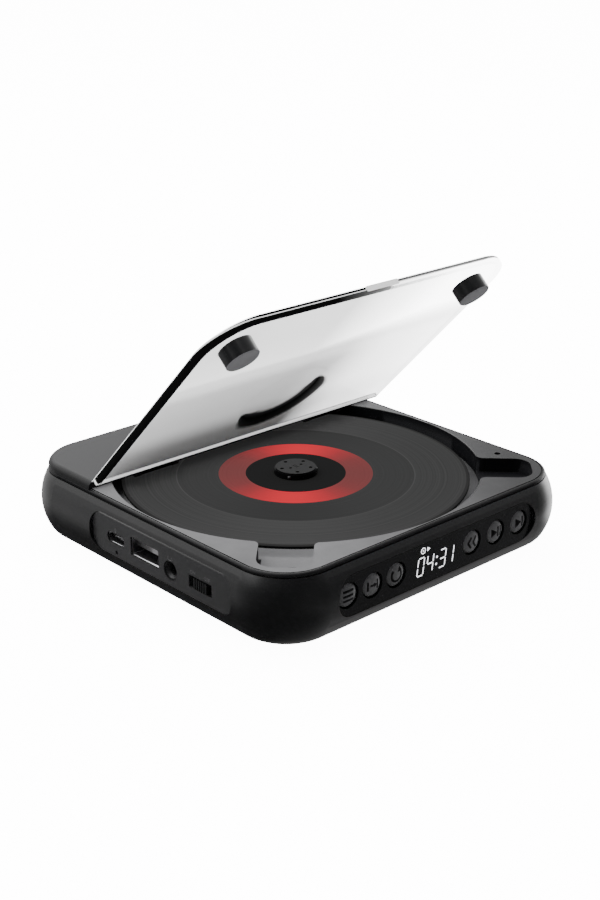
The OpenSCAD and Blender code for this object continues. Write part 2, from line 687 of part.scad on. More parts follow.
module usb_a_socket() color(steel) {
    at_port(usb_a[0], usb_a[1])
        socket([usb_a_size[0] - 2 * fit_gap, usb_a_size[1] - 2 * fit_gap], 0.5, 0.4, 14, [1.9, 11.2, 1.2]);
    translate([board_edge_x + 0.6, usb_a[0] - 5, board_top])
        cube([9, 10, usb_a[1] - usb_a_size[0] / 2 + fit_gap - board_top]);
}
module headphone_jack() color("#0f0f10") difference() {
    union() {
        at_port(jack[0], jack[1]) translate([0, 0, -port_recess - jack_nose_l])
            cylinder(d = jack_nose_d, h = jack_nose_l);
        translate([port_face_x + port_recess + jack_nose_l - sink, jack[0] - 3.3, board_top])
            cube([jack_depth - 2.4, 6.6, 2 * (jack[1] - board_top)]);
    }
    at_port(jack[0], jack[1]) translate([0, 0, -port_recess - jack_depth])
        cylinder(d = jack_bore_d, h = far);
    at_port(jack[0], jack[1]) translate([0, 0, -port_recess - jack_lead])
        cylinder(d1 = jack_bore_d, d2 = 2 * jack_mouth_d - jack_bore_d, h = 2 * jack_lead);
}
knob_l = 6.4;
knob_h = 3.4;
knob_ribs = 5;
knob_rib_depth = 0.35;
stem_l = 2.4;
stem_h = 1.6;
stem_in = 4.6;
knob_out = 0.2;
knob_in = 2.2;
switch_face_in = 3;
module switch_body() color("#151515") difference() {
    translate([port_face_x + switch_face_in, power[0] - 5.8, board_top])
        cube([4.4, 11.6, 2 * (power[1] - board_top)]);
    translate([port_face_x + switch_face_in - sink, power[0] - (stem_l + switch_travel) / 2 - 0.3,
               power[1] - stem_h / 2 - 0.3])
        cube([stem_in - switch_face_in + 0.3 + sink, stem_l + switch_travel + 0.6, stem_h + 0.6]);
}
module switch_knob() color("#3a3b3e") at_port(power[0], power[1]) {
    difference() {
        translate([-knob_h / 2, -knob_l / 2, -knob_in]) cube([knob_h, knob_l, knob_in + knob_out]);
        for (i = [1:knob_ribs]) translate([-knob_h, -knob_l / 2 + knob_l * i / (knob_ribs + 1) - 0.22,
                                           knob_out - knob_rib_depth])
            cube([2 * knob_h, 0.44, 1]);
    }
    translate([-stem_h / 2, -stem_l / 2, -stem_in]) cube([stem_h, stem_l, stem_in - knob_in + sink]);
}
module charge_light() color("#e8f2e8") {
    at_port(light[0], light[1]) translate([0, 0, -light_in - light_l])
        cylinder(d = light_d, h = light_l, $fn = 24);
    translate([port_face_x + light_l, light[0] - light_foot[1] / 2, board_z - light_foot[2]])
        cube(light_foot);
}
module main_board() color(board_green) difference() {
    translate([board_edge_x, board_y0, board_z]) cube([board_w, board_l, board_t]);
    for (p = board_posts) translate([p[0], p[1], 0])
        cylinder(d = board_screw_d + 2 * screw_gap, h = far);
}
module board_screws() color(steel) for (p = board_posts) translate([p[0], p[1], board_top]) {
    cylinder(d = 3.6, h = 1.2);
    translate([0, 0, -board_t - board_screw_l + 1])
        cylinder(d = board_screw_d, h = board_t + board_screw_l - 1);
}
battery_at = [board_edge_x + board_w + 3.55, key_board_y + key_board_t + board_rest[1] + 0.6];
battery_rear_y = -31.15;
battery_right_x = case_w / 2 - 41.75;
battery_size = [battery_right_x - battery_at[0], battery_rear_y - battery_at[1], 6];
module battery() color("#6f7478")
    translate([battery_at[0], battery_at[1], floor_z]) linear_extrude(battery_size[2])
        translate([battery_size[0] / 2, battery_size[1] / 2])
            polygon(rounded_rect(battery_size[0], battery_size[1], 2, 4));

// Disc, hub and spindle
ball_r = 0.8;
ball_out = 0.3;
ball_z = disc_top + ball_r - 0.1;
hub_top = deck_z - hub_drop;
cap_t = 0.5;
boss_top = hub_top - cap_t;
platter_t = 1.6;
sleeve_d = 7;
sleeve_z = chassis_top + 1.2;
shaft_in = 6;
shaft_end_drop = 0.6;
motor_boss_d = 6;
module platter() color("#161719") difference() {
    union() {
        translate([0, 0, sleeve_z]) cylinder(d = sleeve_d, h = disc_bottom - sleeve_z);
        translate([0, 0, disc_bottom - platter_t]) cylinder(d = platter_d, h = platter_t);
        translate([0, 0, disc_bottom - sink]) cylinder(d = hub_d, h = boss_top - disc_bottom + sink);
    }
    translate([0, 0, sleeve_z - sink])
        cylinder(d = spindle_d + 2 * seat_gap, h = boss_top - sleeve_z + sink - shaft_end_drop);
    for (a = [90, 210, 330]) rotate([0, 0, a]) translate([hub_d / 2 - 2.6, 0, ball_z])
        rotate([0, 90, 0]) cylinder(r = ball_r + 0.05, h = 4);
}
module hub_cap() color("#101113") translate([0, 0, boss_top]) difference() {
    cylinder(d = hub_d - 0.6, h = cap_t);
    for (a = [18:72:359]) rotate([0, 0, a]) translate([hub_d * 0.36, 0, -sink]) cylinder(d = 1.3, h = 2);
    for (a = [0, 180]) rotate([0, 0, a]) translate([hub_d * 0.17, 0, -sink]) cylinder(d = 1.1, h = 2);
    for (y = [-0.9, 0, 0.9]) translate([-0.6, y - 0.15, -sink]) cube([1.2, 0.3, 2]);
}
module chuck_balls() color(steel) for (a = [90, 210, 330]) rotate([0, 0, a])
    translate([disc_hole_d / 2 + ball_out - ball_r, 0, ball_z]) sphere(ball_r, $fn = 32);
module spindle_shaft() color(steel)
    translate([0, 0, chassis_z - shaft_in])
        cylinder(d = spindle_d, h = boss_top - shaft_end_drop - chassis_z + shaft_in);
disc_bevel = 0.25;
module disc() color("#2b2c2e") translate([0, 0, disc_bottom]) rotate_extrude($fn = 96)
    polygon([[disc_hole_d / 2, 0], [disc_d / 2 - disc_bevel, 0], [disc_d / 2, disc_bevel],
             [disc_d / 2, disc_t - disc_bevel], [disc_d / 2 - disc_bevel, disc_t],
             [disc_hole_d / 2, disc_t]]);
module spindle_motor() color("#8b8f94") difference() {
    union() {
        translate([0, 0, chassis_z - motor_h]) cylinder(d = motor_d, h = motor_h);
        translate([0, 0, chassis_z - sink]) cylinder(d = motor_boss_d, h = chassis_t + 0.6 + sink);
    }
    translate([0, 0, chassis_z - shaft_in - 0.3]) cylinder(d = spindle_d + 2 * run_gap, h = far);
}

// Pickup drive, drawn along +X from the spindle and turned to its real direction
module mech() {
    rotate([0, 0, mech_angle]) children();
}
sled_l = 20;
sled_half_w = 9;
rod_z = chassis_z - 3.6;
rod_end0 = pickup_start - sled_l / 2 - 1.4;
rod_end1 = pickup_start + pickup_travel + sled_l / 2 + 1.6;
bracket_t = 1.2;
bracket_w = 5;
bush_r = 2.6;
sled_z = rod_z - bush_r;
sled_top = chassis_z - 0.6;
tower = [11, 12];
tower_top = disc_bottom - 4;
slot_half_w = tower[1] / 2 + 1.5;
slot_end = pickup_start + pickup_travel + tower[0] / 2 + 1;
hub_opening_r = 17;
chassis_rear = 24;
chassis_half_w = 19.5;
damper_d = 8;
damper_gap = 0.4;
far_damper = rod_end1 + bracket_t + damper_d / 2 + damper_gap;
far_damper_t = 12;
near_damper = [-19, 15];
damper_at = [for (s = [-1, 1]) each [[near_damper[0], s * near_damper[1]], [far_damper, s * far_damper_t]]];
ear_plate_r = 5;
wing_half_w = 8;
motor_plate_r = 7.5;
damper_post_d = 6;
damper_pin_d = 2.8;
damper_flange_t = 1.2;
damper_neck_d = 5;
module pickup_slot() {
    circle(hub_opening_r);
    translate([0, -slot_half_w]) square([slot_end, 2 * slot_half_w]);
}
module chassis() color("#a4a8ab") difference() {
    mech() difference() {
        union() {
            translate([0, 0, chassis_z]) linear_extrude(chassis_t) chassis_outline();
            for (s = [-1, 1], r = [rod_end0 - bracket_t, rod_end1])
                translate([r, s * rod_offset - bracket_w / 2, rod_z - bush_r])
                    cube([bracket_t, bracket_w, chassis_z + sink - rod_z + bush_r]);
        }
        translate([pickup_start - tower[0] / 2 - 1, -slot_half_w, chassis_z - sink])
            cube([pickup_travel + tower[0] + 2, 2 * slot_half_w, far]);
        translate([0, 0, chassis_z - sink]) cylinder(d = motor_boss_d + 2 * fit_gap, h = far);
        for (p = damper_at) translate([p[0], p[1], chassis_z - sink])
            cylinder(d = damper_neck_d + 2 * fit_gap, h = far);
        for (s = [-1, 1]) translate([0, s * rod_offset, rod_z]) rotate([0, 90, 0])
            cylinder(d = rod_d + 2 * seat_gap, h = far);
        translate([step_at[0], step_at[1], chassis_z - sink])
            cylinder(d = post_pin_d + 2 * seat_gap, h = far);
    }
    for (p = case_posts) translate([p[0], p[1], chassis_z - sink])
        cylinder(d = post_d + 4 * fit_gap, h = far);
}
module chassis_outline() {
    translate([-chassis_rear, -chassis_half_w])
        square([rod_end1 + bracket_t + chassis_rear, 2 * chassis_half_w]);
    for (p = damper_at) translate(p) circle(ear_plate_r);
    for (s = [-1, 1]) translate([rod_end1 - ear_plate_r, s * far_damper_t - ear_plate_r])
        square([far_damper - rod_end1 + ear_plate_r, 2 * ear_plate_r]);
    translate([step_at[0] - wing_half_w, motor_at[1]]) square([2 * wing_half_w, -motor_at[1]]);
    translate(motor_at) circle(motor_plate_r);
}
module dampers() color("#202020") mech() for (p = damper_at)
    translate([p[0], p[1], chassis_z - damper_flange_t]) difference() {
        union() {
            cylinder(d = damper_d, h = damper_flange_t);
            cylinder(d = damper_neck_d, h = 2 * damper_flange_t + chassis_t - 0.2);
            translate([0, 0, damper_flange_t + chassis_t])
                cylinder(d = damper_d - 0.6, h = damper_flange_t - 0.2);
        }
        translate([0, 0, -sink]) cylinder(d = damper_pin_d + 2 * screw_gap, h = far);
    }
module guide_rods() color(steel) mech() for (s = [-1, 1])
    translate([rod_end0 - bracket_t, s * rod_offset, rod_z]) rotate([0, 90, 0])
        cylinder(d = rod_d, h = rod_end1 - rod_end0 + 2 * bracket_t);
module sled() color("#2e3033") mech() translate([pickup_start, 0, 0]) difference() {
    union() {
        translate([-sled_l / 2, -sled_half_w, sled_z]) cube([sled_l, 2 * sled_half_w, sled_top - sled_z]);
        translate([-tower[0] / 2, -tower[1] / 2, sled_top - sink])
            cube([tower[0], tower[1], tower_top - sled_top + sink]);
        for (s = [-1, 1]) translate([s * (sled_l / 2 - 3) - 3, 0, 0]) {
            translate([0, -rod_offset, rod_z]) rotate([0, 90, 0]) cylinder(r = bush_r, h = 6);
            translate([0, -rod_offset, rod_z - 1.5]) cube([6, rod_offset - sled_half_w + sink, 3]);
        }
        translate([-3, sled_half_w - sink, sled_z])
            cube([6, rod_offset + rod_d / 2 - sled_half_w + sink, sled_top - sled_z - 0.4]);
    }
    translate([-sled_l, -rod_offset, rod_z]) rotate([0, 90, 0])
        cylinder(d = rod_d + 2 * run_gap, h = 2 * sled_l);
    translate([-sled_l, rod_offset - rod_d / 2 - 0.6, rod_z - rod_d / 2 - run_gap])
        cube([2 * sled_l, 10, rod_d + 2 * run_gap]);
}
lens_gap = 0.6;
lens_block = [10, 9, 1.4];
lens_r = 2.2;
lens_h = 0.5;
module lens_holder() color("#17181a") mech() translate([pickup_start, 0, tower_top + lens_gap]) {
    translate([-lens_block[0] / 2, -lens_block[1] / 2, 0]) cube(lens_block);
    translate([0, 0, lens_block[2] - sink]) cylinder(r = lens_r, h = lens_h + sink);
}

// Feed gears with stub teeth at a 25 degree pressure angle
pressure_a = 25;
addendum = 0.8 * gear_module;
dedendum = 1.1 * gear_module;
tooth_play = 0.06;
tooth_pitch = PI * gear_module;
rack_z0 = rod_z + rod_d / 2 + 0.4;
rack_t = 1.2;
rack_line = -rod_offset - bush_r - gear_module * wheel_teeth / 2 + gear_module * step_teeth / 2 - 1.9;
step_at = [30, rack_line - gear_module * step_teeth / 2];
motor_at = [step_at[0], step_at[1] - gear_module * (wheel_teeth + pinion_teeth) / 2];
wheel_t = 1.4;
wheel_z = chassis_z - 10.6;
post_pin_d = 2;
feed_motor_d = 12;
feed_motor_h = 8.6;
feed_shaft_d = 1.5;
rack_teeth = ceil(pickup_travel / tooth_pitch) + 4;
rack_arm_w = 6;
function involute(a) = tan(a) * 180 / PI - a;
function flank_angle(r, rb, half) =
    half + involute(pressure_a) - (r > rb ? involute(acos(rb / r)) : 0);
function tooth_side(z, steps = 4) =
    let (r = gear_module * z / 2, rb = r * cos(pressure_a),
         half = 90 / z - tooth_play / 2 / r * 180 / PI,
         low = r - dedendum, start = max(rb, low))
    concat(low < rb ? [[low, flank_angle(rb, rb, half)]] : [],
           [for (i = [0:steps]) let (q = start + (r + addendum - start) * i / steps)
               [q, flank_angle(q, rb, half)]]);
function gear_outline(z) = [for (k = [0:z - 1]) let (side = tooth_side(z), mid = 360 * k / z)
    each concat([for (p = side) p[0] * [cos(mid - p[1]), sin(mid - p[1])]],
                [for (p = reversed(side)) p[0] * [cos(mid + p[1]), sin(mid + p[1])]])];
module gear(z, h) {
    linear_extrude(h) polygon(gear_outline(z));
}
module feed_gear() color("#d8d4c4") mech() translate([step_at[0], step_at[1], wheel_z]) difference() {
    union() {
        rotate([0, 0, 270]) gear(wheel_teeth, wheel_t);
        translate([0, 0, wheel_t - 0.2]) rotate([0, 0, 90])
            gear(step_teeth, rack_z0 + rack_t - wheel_z - wheel_t + 0.2);
    }
    translate([0, 0, -sink]) cylinder(d = post_pin_d + 2 * run_gap, h = far);
}
module gear_post() color(steel) mech() translate([step_at[0], step_at[1], 0]) {
    translate([0, 0, wheel_z - 0.8]) cylinder(d = post_pin_d, h = chassis_top - wheel_z + 0.8);
    translate([0, 0, wheel_z - 0.8]) cylinder(d = 2 * post_pin_d, h = 0.6);
}
module feed_motor() color("#8b8f94") mech() translate([motor_at[0], motor_at[1], 0]) difference() {
    translate([0, 0, chassis_z - feed_motor_h]) cylinder(d = feed_motor_d, h = feed_motor_h);
    translate([0, 0, chassis_z - feed_motor_h - sink]) cylinder(d = feed_shaft_d + 2 * run_gap, h = 3 + sink);
}
module feed_pinion() color("#d8d4c4") mech() translate([motor_at[0], motor_at[1], wheel_z]) {
    rotate([0, 0, 90 + 180 / pinion_teeth]) gear(pinion_teeth, wheel_t + 0.2);
    cylinder(d = feed_shaft_d, h = chassis_z - feed_motor_h + 2.6 - wheel_z);
}
module rack() color("#d8d4c4") mech() translate([0, 0, rack_z0]) {
    linear_extrude(rack_t) {
        for (k = [0:rack_teeth - 1]) translate([step_at[0] + (1.5 - k) * tooth_pitch, rack_line])
            polygon(rack_tooth());
        translate([step_at[0] + (2.2 - rack_teeth) * tooth_pitch, rack_line + dedendum])
            square([(rack_teeth - 0.4) * tooth_pitch, 1.6]);
    }
    translate([pickup_start - rack_arm_w / 2, rack_line + dedendum, 0])
        cube([rack_arm_w, -sled_half_w - rack_line - dedendum, rack_t]);
}
function rack_tooth() =
    let (half = tooth_pitch / 4 - tooth_play / 2, lean = tan(pressure_a))
    [[-half + addendum * lean, -addendum], [half - addendum * lean, -addendum],
     [half + dedendum * lean, dedendum], [half + dedendum * lean, dedendum + 0.3],
     [-half - dedendum * lean, dedendum + 0.3], [-half - dedendum * lean, dedendum]];

lower_shell();
deck();
rear_cover();
hinge_pins();
front_window();
display_module();
key_board();
port_panel();
usb_c_socket();
usb_a_socket();
headphone_jack();
switch_body();
charge_light();
main_board();
board_screws();
battery();
striker_plates();
lid_sensor();
chassis();
dampers();
spindle_motor();
guide_rods();
feed_motor();
gear_post();
feet();
case_screws();
lid();
lid_pads();
lid_magnets();
key_menu();
key_section();
key_repeat();
key_back();
key_play();
key_next();
switch_knob();
platter();
hub_cap();
chuck_balls();
spindle_shaft();
disc();
sled();
rack();
lens_holder();
feed_gear();
feed_pinion();
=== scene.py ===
# %% [markdown]
# # Portable disc player
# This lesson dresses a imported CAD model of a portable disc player: a black moulded case with bulging
# sides, a clear lid that stands half open, a dark disc with a red ring, a front display and a row of
# ports on the left. The CAD solids give every size. Blender gives the smooth shading, the finishes,
# the printed marks, the lit digits and the light of a small studio.

# %% Load the frame
import json
import math
from functools import partial

import bpy
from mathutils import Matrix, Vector

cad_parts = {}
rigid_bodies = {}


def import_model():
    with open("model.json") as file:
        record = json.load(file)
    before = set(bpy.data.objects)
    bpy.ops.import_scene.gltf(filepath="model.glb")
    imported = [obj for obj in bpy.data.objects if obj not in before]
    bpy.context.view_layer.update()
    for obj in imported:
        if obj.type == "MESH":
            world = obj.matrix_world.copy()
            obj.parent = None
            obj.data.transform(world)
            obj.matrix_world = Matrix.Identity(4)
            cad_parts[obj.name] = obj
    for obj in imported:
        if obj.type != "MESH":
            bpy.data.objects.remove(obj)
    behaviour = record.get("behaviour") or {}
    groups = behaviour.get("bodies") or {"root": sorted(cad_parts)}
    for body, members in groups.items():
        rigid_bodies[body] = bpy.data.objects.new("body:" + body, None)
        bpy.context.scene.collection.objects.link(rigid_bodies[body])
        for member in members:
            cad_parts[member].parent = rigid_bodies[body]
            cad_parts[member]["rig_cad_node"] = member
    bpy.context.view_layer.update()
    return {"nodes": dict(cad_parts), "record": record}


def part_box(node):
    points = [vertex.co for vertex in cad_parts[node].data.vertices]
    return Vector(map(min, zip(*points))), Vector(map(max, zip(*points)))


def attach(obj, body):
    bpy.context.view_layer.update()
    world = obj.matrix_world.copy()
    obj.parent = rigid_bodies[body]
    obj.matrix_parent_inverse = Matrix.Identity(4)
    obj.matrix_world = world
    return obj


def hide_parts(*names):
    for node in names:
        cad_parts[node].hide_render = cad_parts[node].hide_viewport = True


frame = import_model()
MM = 0.001
print("CAD nodes:", len(frame["nodes"]))

# %% [markdown]
# ## The camera
# The photograph was taken from the front left, a little above the deck, with a longish lens. The camera
# stands at the place that a fit of the disc, the deck and the lid gave, and aims close to the middle of
# the deck. A portrait picture takes the sensor's width for its long side.

# %% Camera
CAMERA_PLACE = Vector((-330.5, -361.4, 226.2)) * MM
CAMERA_AIM = Vector((2.34, 0.37, 31.33)) * MM
CAMERA_LENS = 61.17
CAMERA_SENSOR = 36
CAMERA_NEAR = 10 * MM

bpy.ops.object.camera_add(location=CAMERA_PLACE)
camera = bpy.context.active_object
camera.name = "camera"
camera.rotation_euler = (CAMERA_AIM - CAMERA_PLACE).to_track_quat("-Z", "Y").to_euler()
camera.data.lens = CAMERA_LENS
camera.data.sensor_width = CAMERA_SENSOR
camera.data.clip_start = CAMERA_NEAR
bpy.context.scene.camera = camera
print("Camera distance in mm:", round((CAMERA_AIM - CAMERA_PLACE).length / MM, 1))

# %% [markdown]
# ## Helpers for modelling
# Operators act on whatever is selected, so each step first picks one object. A finished piece is
# settled: its place is applied, it gets a name and a finish, and it rides on one of the moving bodies.

# %% Picking and settling
bodies = frame["record"]["behaviour"]["bodies"]
node_body = {node: body for body, nodes in bodies.items() for node in nodes}


def pick(obj):
    """Makes obj the one selected and active object."""
    bpy.ops.object.select_all(action="DESELECT")
    obj.select_set(True)
    bpy.context.view_layer.objects.active = obj


def paint(obj, finish):
    """Gives obj one finish."""
    obj.data.materials.clear()
    obj.data.materials.append(finish)


def settle(obj, name, body, finish):
    """Names a finished piece, applies its place and hangs it on its body."""
    pick(obj)
    bpy.ops.object.transform_apply(location=True, rotation=True, scale=True)
    obj.name = name
    paint(obj, finish)
    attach(obj, body)


def choose(obj, test):
    """Selects just the vertices whose place passes a test."""
    for part in (*obj.data.edges, *obj.data.polygons):
        part.select = False
    for vertex in obj.data.vertices:
        vertex.select = test(vertex.co)


def apply_modifier(obj, modifier):
    """Applies one modifier of obj."""
    pick(obj)
    bpy.ops.object.modifier_apply(modifier=modifier.name)


def thicken(obj, thickness):
    """Gives a flat piece a thickness, half of it to each side."""
    solid = obj.modifiers.new("solid", "SOLIDIFY")
    solid.thickness = thickness
    solid.offset = 0
    apply_modifier(obj, solid)


print("Bodies:", len(bodies))

# %% [markdown]
# A CAD mesh comes as loose triangles, which shade flat. A skin is a copy of it with the doubles merged,
# the flat triangles joined and soft shading, and it stands in for the CAD node on the same body.

# %% Copies and skins
MERGE_GAP = 0.0015 * MM
FLAT_ANGLE = math.radians(0.05)
SHARP_ANGLE = math.radians(32)
FACE_WEIGHT = 100


def copied(node):
    """A copy of a CAD node that is free to change."""
    pick(frame["nodes"][node])
    bpy.ops.object.duplicate()
    piece = bpy.context.active_object
    del piece["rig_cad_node"]
    return piece


def join_triangles():
    """Merges doubles and joins flat triangles, in Edit Mode."""
    bpy.ops.mesh.select_all(action="SELECT")
    bpy.ops.mesh.remove_doubles(threshold=MERGE_GAP)
    bpy.ops.mesh.dissolve_limited(angle_limit=FLAT_ANGLE)


def skin(node, finish):
    """A softly shaded copy of a CAD node that is shown in its place."""
    piece = copied(node)
    bpy.ops.object.mode_set(mode="EDIT")
    join_triangles()
    bpy.ops.object.mode_set(mode="OBJECT")
    bpy.ops.object.shade_smooth_by_angle(angle=SHARP_ANGLE)
    weigh = piece.modifiers.new("weigh", "WEIGHTED_NORMAL")
    weigh.keep_sharp = True
    weigh.weight = FACE_WEIGHT
    apply_modifier(piece, weigh)
    settle(piece, node + "_skin", node_body[node], finish)
    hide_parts(node)
    return piece


def refinish(obj, finishes, choice):
    """Adds finishes to obj; choice gives each face the number of its finish, 0 for the first one."""
    for finish in finishes:
        obj.data.materials.append(finish)
    for face in obj.data.polygons:
        face.material_index = choice(face)


print("Skins fold at degrees:", round(math.degrees(SHARP_ANGLE)))

# %% [markdown]
# ## Helpers for finishes
# A finish is a small network of nodes. These helpers add one node each, take plain numbers or the
# outputs of other nodes, and give the new node's output back, so that a network reads like a formula.

# %% Node helpers
def put(tree, value, socket):
    """Sets a socket to a number or colour, or links another socket to it."""
    if isinstance(value, (int, float, tuple)):
        socket.default_value = value
    else:
        tree.links.new(value, socket)


def feed(tree, sockets, values):
    """Sets or links several sockets by their labels."""
    for label, value in values.items():
        put(tree, value, sockets[label])


def math_node(tree, operation, *values):
    """A math node with up to three inputs."""
    node = tree.nodes.new("ShaderNodeMath")
    node.operation = operation
    for socket, value in zip(node.inputs, values):
        put(tree, value, socket)
    return node.outputs[0]


def length_of(tree, first, second):
    """The length of a two-part vector."""
    squares = [math_node(tree, "MULTIPLY", part, part) for part in (first, second)]
    return math_node(tree, "SQRT", math_node(tree, "ADD", *squares))


def object_place(tree):
    """The Object coordinates."""
    return tree.nodes.new("ShaderNodeTexCoord").outputs["Object"]


def split(tree, vector):
    """The X, Y and Z parts of a vector."""
    node = tree.nodes.new("ShaderNodeSeparateXYZ")
    tree.links.new(vector, node.inputs[0])
    return node.outputs


def along_axis(tree, place, axis):
    """The part of a vector along an axis."""
    node = tree.nodes.new("ShaderNodeVectorMath")
    node.operation = "DOT_PRODUCT"
    node.inputs[1].default_value = axis
    tree.links.new(place, node.inputs[0])
    return node.outputs["Value"]


def noise_node(tree, vector, scale, detail=2.0, rough=0.5):
    """The value of a noise texture."""
    node = tree.nodes.new("ShaderNodeTexNoise")
    feed(tree, node.inputs, {"Vector": vector, "Scale": scale, "Detail": detail, "Roughness": rough})
    return node.outputs[0]


def ramp_node(tree, value, stops, interpolation="LINEAR"):
    """A colour ramp with (place, grey or colour) stops."""
    node = tree.nodes.new("ShaderNodeValToRGB")
    node.color_ramp.interpolation = interpolation
    elements = node.color_ramp.elements
    while len(elements) < len(stops):
        elements.new(1.0)
    for element, (place, colour) in zip(elements, stops):
        element.position = place
        grey = isinstance(colour, (int, float))
        element.color = (colour, colour, colour, 1) if grey else (*colour, 1)
    tree.links.new(value, node.inputs[0])
    return node.outputs[0]


def mixed(tree, share, first, second, blend="MIX"):
    """Mixes two colours by a share; a Mix node keeps its colours on sockets 6 and 7."""
    node = tree.nodes.new("ShaderNodeMix")
    node.data_type = "RGBA"
    node.blend_type = blend
    for number, value in ((0, share), (6, first), (7, second)):
        put(tree, value, node.inputs[number])
    return node.outputs[2]


print("Node helpers ready")

# %% Group and finish helpers
BUMP_STRENGTH = 0.25


def new_group(name, inputs, outputs):
    """An empty node group; returns it with the sockets of its two ends."""
    group = bpy.data.node_groups.new(name, "ShaderNodeTree")
    for label, value in inputs.items():
        socket = group.interface.new_socket(label, in_out="INPUT", socket_type="NodeSocketFloat")
        socket.default_value = value
    for label in outputs:
        group.interface.new_socket(label, in_out="OUTPUT", socket_type="NodeSocketFloat")
    start = group.nodes.new("NodeGroupInput")
    return group, start.outputs, group.nodes.new("NodeGroupOutput").inputs


def group_node(tree, group, values):
    """A node that uses a group, with its inputs set; returns its outputs."""
    node = tree.nodes.new("ShaderNodeGroup")
    node.node_tree = group
    feed(tree, node.inputs, values)
    return node.outputs


def new_finish(name):
    """A new material, with its node tree and its shader."""
    material = bpy.data.materials.new(name)
    material.use_nodes = True
    return material, material.node_tree, material.node_tree.nodes["Principled BSDF"]


def add_bump(tree, shader, height, depth):
    """Lets a height tilt the shader's normal; depth in metres."""
    bump = tree.nodes.new("ShaderNodeBump")
    feed(tree, bump.inputs, {"Strength": BUMP_STRENGTH, "Distance": depth, "Height": height})
    tree.links.new(bump.outputs[0], shader.inputs["Normal"])


print("Finish helpers ready")

# %% [markdown]
# ## Shared effects
# Moulded plastic is never perfectly even: it has a fine grain from the tool, and a faint haze where it
# has been handled. One node group gives both, so that each finish can use them with its own values. A
# second group turns Object coordinates into the distance and the angle round the disc's axis.

# %% Mould grain group
SMEAR_SCALE = 38.0

grain, grain_in, grain_out = new_group(
    "mould_grain", {"Grain": 2500.0, "Haze": 0.08, "Roughness": 0.35}, ["Height", "Roughness", "Haze"]
)
grain_place = object_place(grain)
smear_noise = noise_node(grain, grain_place, SMEAR_SCALE, detail=4.0, rough=0.62)
smear = math_node(grain, "SUBTRACT", smear_noise, 0.5)
smear_part = math_node(grain, "MULTIPLY", smear, grain_in["Haze"])
feed(grain, grain_out, {
    "Height": noise_node(grain, grain_place, grain_in["Grain"], detail=1.0),
    "Roughness": math_node(grain, "ADD", smear_part, grain_in["Roughness"]),
    "Haze": math_node(grain, "ADD", smear, 0.5),
})
print("Group made:", grain.name)

# %% Radius group
radius, _, radius_out = new_group("radius_from_axis", {}, ["Radius", "Angle"])
radius_parts = split(radius, object_place(radius))
feed(radius, radius_out, {
    "Radius": length_of(radius, radius_parts["X"], radius_parts["Y"]),
    "Angle": math_node(radius, "ARCTAN2", radius_parts["Y"], radius_parts["X"]),
})
print("Group made:", radius.name)

# %% [markdown]
# ## Plastics
# Nearly everything here is black plastic, told apart by its gloss: the case is satin, the deck a little
# shinier, the keys and the port panel duller and greyer. One function makes such a finish: the grain feeds
# a fine bump and the haze moves both the roughness and the colour a little. The deck's top also has painted
# shade: its colour falls off to the right of the view, where less light reaches it.

# %% Plastic finish
HAZE_TINT = 0.18
FALL_SPAN = 80 * MM
VIEW_RIGHT = Vector((0.738, -0.675, 0.0))


def plastic(name, colour, rough, specular=0.5, grain_size=0.4, depth=0.02, haze=0.08, fall=None):
    """A moulded plastic; grain_size and depth are in millimetres, fall is painted shade, its tones to the
    right of the view.
    """
    material, tree, shader = new_finish(name)
    effect = group_node(tree, grain, {"Grain": 1 / (grain_size * MM), "Haze": haze, "Roughness": rough})
    dim, lift = [[c * part for c in colour] for part in (1 - HAZE_TINT, 1 + HAZE_TINT)]
    tint = ramp_node(tree, effect["Haze"], [(0.3, dim), (0.7, lift)])
    if fall:
        far = math_node(tree, "DIVIDE", along_axis(tree, object_place(tree), VIEW_RIGHT), FALL_SPAN)
        tint = mixed(tree, 1.0, tint, ramp_node(tree, far, fall), "MULTIPLY")
    feed(tree, shader.inputs, {
        "Base Color": tint, "Roughness": effect["Roughness"], "Specular IOR Level": specular,
    })
    add_bump(tree, shader, effect["Height"], depth * MM)
    return material


print("Haze moves the colour by:", HAZE_TINT)

# %% Plastics
case_satin = plastic("case_satin", (0.0045, 0.0045, 0.005), 0.34, specular=0.45)
cover_satin = plastic("cover_satin", (0.008, 0.008, 0.009), 0.30, specular=0.08)
deck_satin = plastic("deck_satin", (0.022, 0.022, 0.023), 0.33, specular=0.85)
# The deck's level top is painted grey. The grey stands in for the room that the black gloss mirrors, and it
# darkens to the right as painted shade.
deck_top_painted_reflection = plastic(
    "deck_top_painted_reflection", (0.122, 0.122, 0.125), 0.4, specular=0.03,
    fall=[(0.0, 1.0), (0.15, 1.0), (0.5, 0.65), (0.93, 0.24)],
)
# Dull black. In the well, in the right pocket, in the pocket lines and on the disc's edge it is painted
# shade. On the charge light it is that part's own black.
well_black = plastic("well_black", (0.006, 0.006, 0.007), 0.6, specular=0.03)
window_tint = plastic(
    "window_tint", (0.0035, 0.0036, 0.004), 0.2, specular=0.16, grain_size=1.5, depth=0.003, haze=0.05
)
panel_satin = plastic("panel_satin", (0.013, 0.013, 0.014), 0.42, specular=0.4, grain_size=0.3)
key_satin = plastic("key_satin", (0.037, 0.037, 0.039), 0.42, specular=0.55, grain_size=0.3)
pad_satin = plastic("pad_satin", (0.0045, 0.0045, 0.005), 0.3, specular=0.2, grain_size=0.3)
